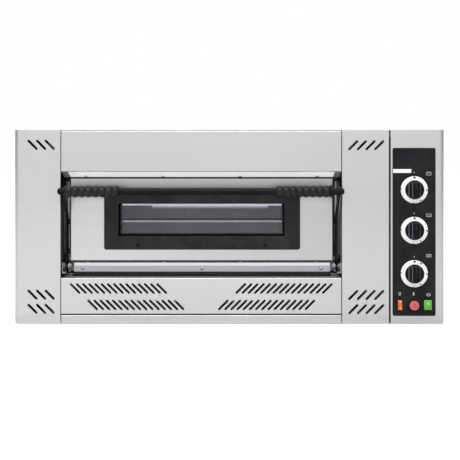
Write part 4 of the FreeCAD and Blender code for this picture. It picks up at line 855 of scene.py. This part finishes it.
# cable gland and a blank data plate on the rear panel
GX, GZ = 0.450, 0.140
hexa = [(GX + 0.0150 * math.cos(math.radians(60 * i + 30)), GZ + 0.0150 * math.sin(math.radians(60 * i + 30))) for i in range(6)]
flat("gland_nut", [hexa, circ(GX, GZ, 0.0084, 36)[::-1]], B + 0.0001, B + 0.0052, "gland", "casing", 0.0006)
lathe("gland_cap", [(0.0050, 0.0086), (0.0050, 0.0122), (0.0090, 0.0122), (0.0120, 0.0108), (0.0120, 0.0064), (0.0050, 0.0064)],
      (GX, B, GZ), (0, 1, 0), "gland", "casing", 48, closed=True)
tube_path("supply_cable", [(GX, B + 0.0020, GZ), (GX, B + 0.0120, GZ), (GX - 0.0002, B + 0.0170, GZ - 0.0060),
                           (GX - 0.0004, B + 0.0180, GZ - 0.0300), (GX - 0.0004, B + 0.0180, GZ - 0.0700)],
          0.0045, "gland", "casing")
flat("rear_data_plate", [rrect(-0.420, -0.330, 0.330, 0.385, 0.003)], B + 0.0001, B + 0.0007, "screw", "casing", 0.0001)
for i, (rx, rz) in enumerate(((-0.415, 0.335), (-0.335, 0.335), (-0.415, 0.380), (-0.335, 0.380))):
    lathe("data_plate_rivet_%d" % i, [(0.0007, 0.0), (0.0007, 0.0020), (0.0012, 0.0018), (0.0016, 0.0010), (0.0017, 0.0)],
          (rx, B, rz), (0, 1, 0), "screw", "casing", 20)

# =====================================================================================
# stage, light, camera
# =====================================================================================
def floor_mat():
    m = Mat("floor_pale")
    co = m.coord()
    n = m.noise(m.mapping(co, (1.2, 1.2, 1.2)), 1.0, 4.0)
    col = m.mix(n, (0.93, 0.93, 0.93), (0.96, 0.96, 0.96))
    d = m.n("ShaderNodeBsdfDiffuse", {"Color": col})
    lp = m.n("ShaderNodeLightPath")
    e = m.n("ShaderNodeEmission", {"Color": (1, 1, 1, 1), "Strength": 0.42})
    a = m.n("ShaderNodeAddShader")
    m.t.links.new(d.outputs[0], a.inputs[0])
    m.t.links.new(e.outputs[0], a.inputs[1])
    g = m.n("ShaderNodeBsdfDiffuse", {"Color": (0.755, 0.755, 0.755, 1)})
    mx = m.n("ShaderNodeMixShader", {"Fac": lp.outputs["Is Camera Ray"]})
    m.t.links.new(g.outputs[0], mx.inputs[1])
    m.t.links.new(a.outputs[0], mx.inputs[2])
    m.t.links.new(mx.outputs[0], m.out.inputs[0])
    return m.m


bm = bmesh.new()
S = 14.0
vs = [bm.verts.new(p) for p in ((-S, -S, -0.0004), (S, -S, -0.0004), (S, S, -0.0004), (-S, S, -0.0004))]
bm.faces.new(vs)
me = bpy.data.meshes.new("studio_floor")
bm.to_mesh(me)
bm.free()
floor = bpy.data.objects.new("studio_floor", me)
scene.collection.objects.link(floor)
me.materials.append(floor_mat())

w = bpy.data.worlds.new("studio")
scene.world = w
w.use_nodes = True
nt = w.node_tree
nt.nodes.clear()
wo = nt.nodes.new("ShaderNodeOutputWorld")
tc = nt.nodes.new("ShaderNodeTexCoord")
sp = nt.nodes.new("ShaderNodeSeparateXYZ")
nt.links.new(tc.outputs["Generated"], sp.inputs[0])


def wmr(sock, a, b, c, d):
    nd = nt.nodes.new("ShaderNodeMapRange")
    nd.interpolation_type = "SMOOTHSTEP"
    nt.links.new(sock, nd.inputs["Value"])
    for k, v in zip(("From Min", "From Max", "To Min", "To Max"), (a, b, c, d)):
        nd.inputs[k].default_value = v
    return nd.outputs[0]


def wmath(op, a, b):
    nd = nt.nodes.new("ShaderNodeMath")
    nd.operation = op
    for i, v in enumerate((a, b)):
        if isinstance(v, bpy.types.NodeSocket):
            nt.links.new(v, nd.inputs[i])
        else:
            nd.inputs[i].default_value = v
    return nd.outputs[0]


front = wmr(sp.outputs[1], -0.15, -0.95, 0.0, 1.0)       # towards the camera side
up = wmr(sp.outputs[2], 0.0, 0.9, 0.0, 1.0)
side = wmr(wmath("ABSOLUTE", sp.outputs[0], 0.0), 0.55, 0.98, 0.0, 1.0)
val = wmath("ADD", 0.40, wmath("MULTIPLY", front, 0.545))
val = wmath("ADD", val, wmath("MULTIPLY", up, 0.34))
val = wmath("SUBTRACT", val, wmath("MULTIPLY", side, 0.16))
bgr = nt.nodes.new("ShaderNodeBackground")
cmb = nt.nodes.new("ShaderNodeCombineColor")
nt.links.new(val, cmb.inputs[0])
nt.links.new(val, cmb.inputs[1])
nt.links.new(wmath("MULTIPLY", val, 1.022), cmb.inputs[2])
nt.links.new(cmb.outputs[0], bgr.inputs[0])
bgw = nt.nodes.new("ShaderNodeBackground")
bgw.inputs[0].default_value = (1, 1, 1, 1)
bgw.inputs[1].default_value = 1.0
lp = nt.nodes.new("ShaderNodeLightPath")
mx = nt.nodes.new("ShaderNodeMixShader")
nt.links.new(lp.outputs["Is Camera Ray"], mx.inputs[0])
nt.links.new(bgr.outputs[0], mx.inputs[1])
nt.links.new(bgw.outputs[0], mx.inputs[2])
nt.links.new(mx.outputs[0], wo.inputs[0])


def area(name, loc, target, sx, sy, power, color=(1, 1, 1)):
    d = bpy.data.lights.new(name, "AREA")
    d.shape = "RECTANGLE"
    d.size, d.size_y = sx, sy
    d.energy = power
    d.color = color
    o = bpy.data.objects.new(name, d)
    scene.collection.objects.link(o)
    o.location = loc
    o.rotation_euler = (Vector(target) - Vector(loc)).to_track_quat("-Z", "Y").to_euler()
    return o


area("key_top_front", (-0.2, -1.7, 2.3), (0, -0.3, 0.2), 2.2, 1.0, 34)
for a in (area("fill_left", (-2.4, -1.4, 0.9), (0, -0.3, 0.2), 0.9, 1.6, 8),
          area("fill_right", (2.4, -1.2, 0.9), (0, -0.3, 0.2), 0.7, 1.6, 5)):
    a.visible_glossy = False
area("back_top", (0.2, 1.8, 1.9), (0, 0.2, 0.2), 2.0, 1.0, 14).visible_glossy = False

# soft glow of the chamber lamp
d = bpy.data.lights.new("chamber_glow", "AREA")
d.shape = "RECTANGLE"
d.size, d.size_y = 0.50, 0.10
d.energy = 0.50
d.color = (0.98, 0.985, 1.0)
o = bpy.data.objects.new("chamber_glow", d)
scene.collection.objects.link(o)
o.location = (-0.0656, -0.20, 0.306)
o.rotation_euler = (Vector((-0.0656, 0.16, 0.18)) - Vector(o.location)).to_track_quat("-Z", "Y").to_euler()

cam = bpy.data.cameras.new("photo_camera")
co_ = bpy.data.objects.new("photo_camera", cam)
scene.collection.objects.link(co_)
CAM = Vector((0.0014, F - 1.5, 0.397))
co_.location = CAM
co_.rotation_euler = (math.radians(90), 0, 0)
cam.sensor_width = 36.0
cam.lens = 36.0 * 1.5 / (460 * 0.00233)
cam.clip_start, cam.clip_end = 0.05, 60
# the lens is shifted down only at the camera's own place, so that other views stay centred
cam.shift_y = -0.166
home = bpy.data.objects.new("photo_camera_home", None)
scene.collection.objects.link(home)
home.location = CAM
fcu = cam.driver_add("shift_y")
for md in list(fcu.modifiers):
    fcu.modifiers.remove(md)
while fcu.keyframe_points:
    fcu.keyframe_points.remove(fcu.keyframe_points[0])
for at, val_ in ((0.0, -0.166), (0.02, -0.166), (0.06, 0.0)):
    fcu.keyframe_points.insert(at, val_).interpolation = "LINEAR"
fcu.extrapolation = "CONSTANT"
drv = fcu.driver
drv.type = "AVERAGE"
va = drv.variables.new()
va.name = "away"
va.type = "LOC_DIFF"
va.targets[0].id = co_
va.targets[1].id = home
scene.camera = co_
scene.view_settings.view_transform = "Standard"
scene.view_settings.look = "None"
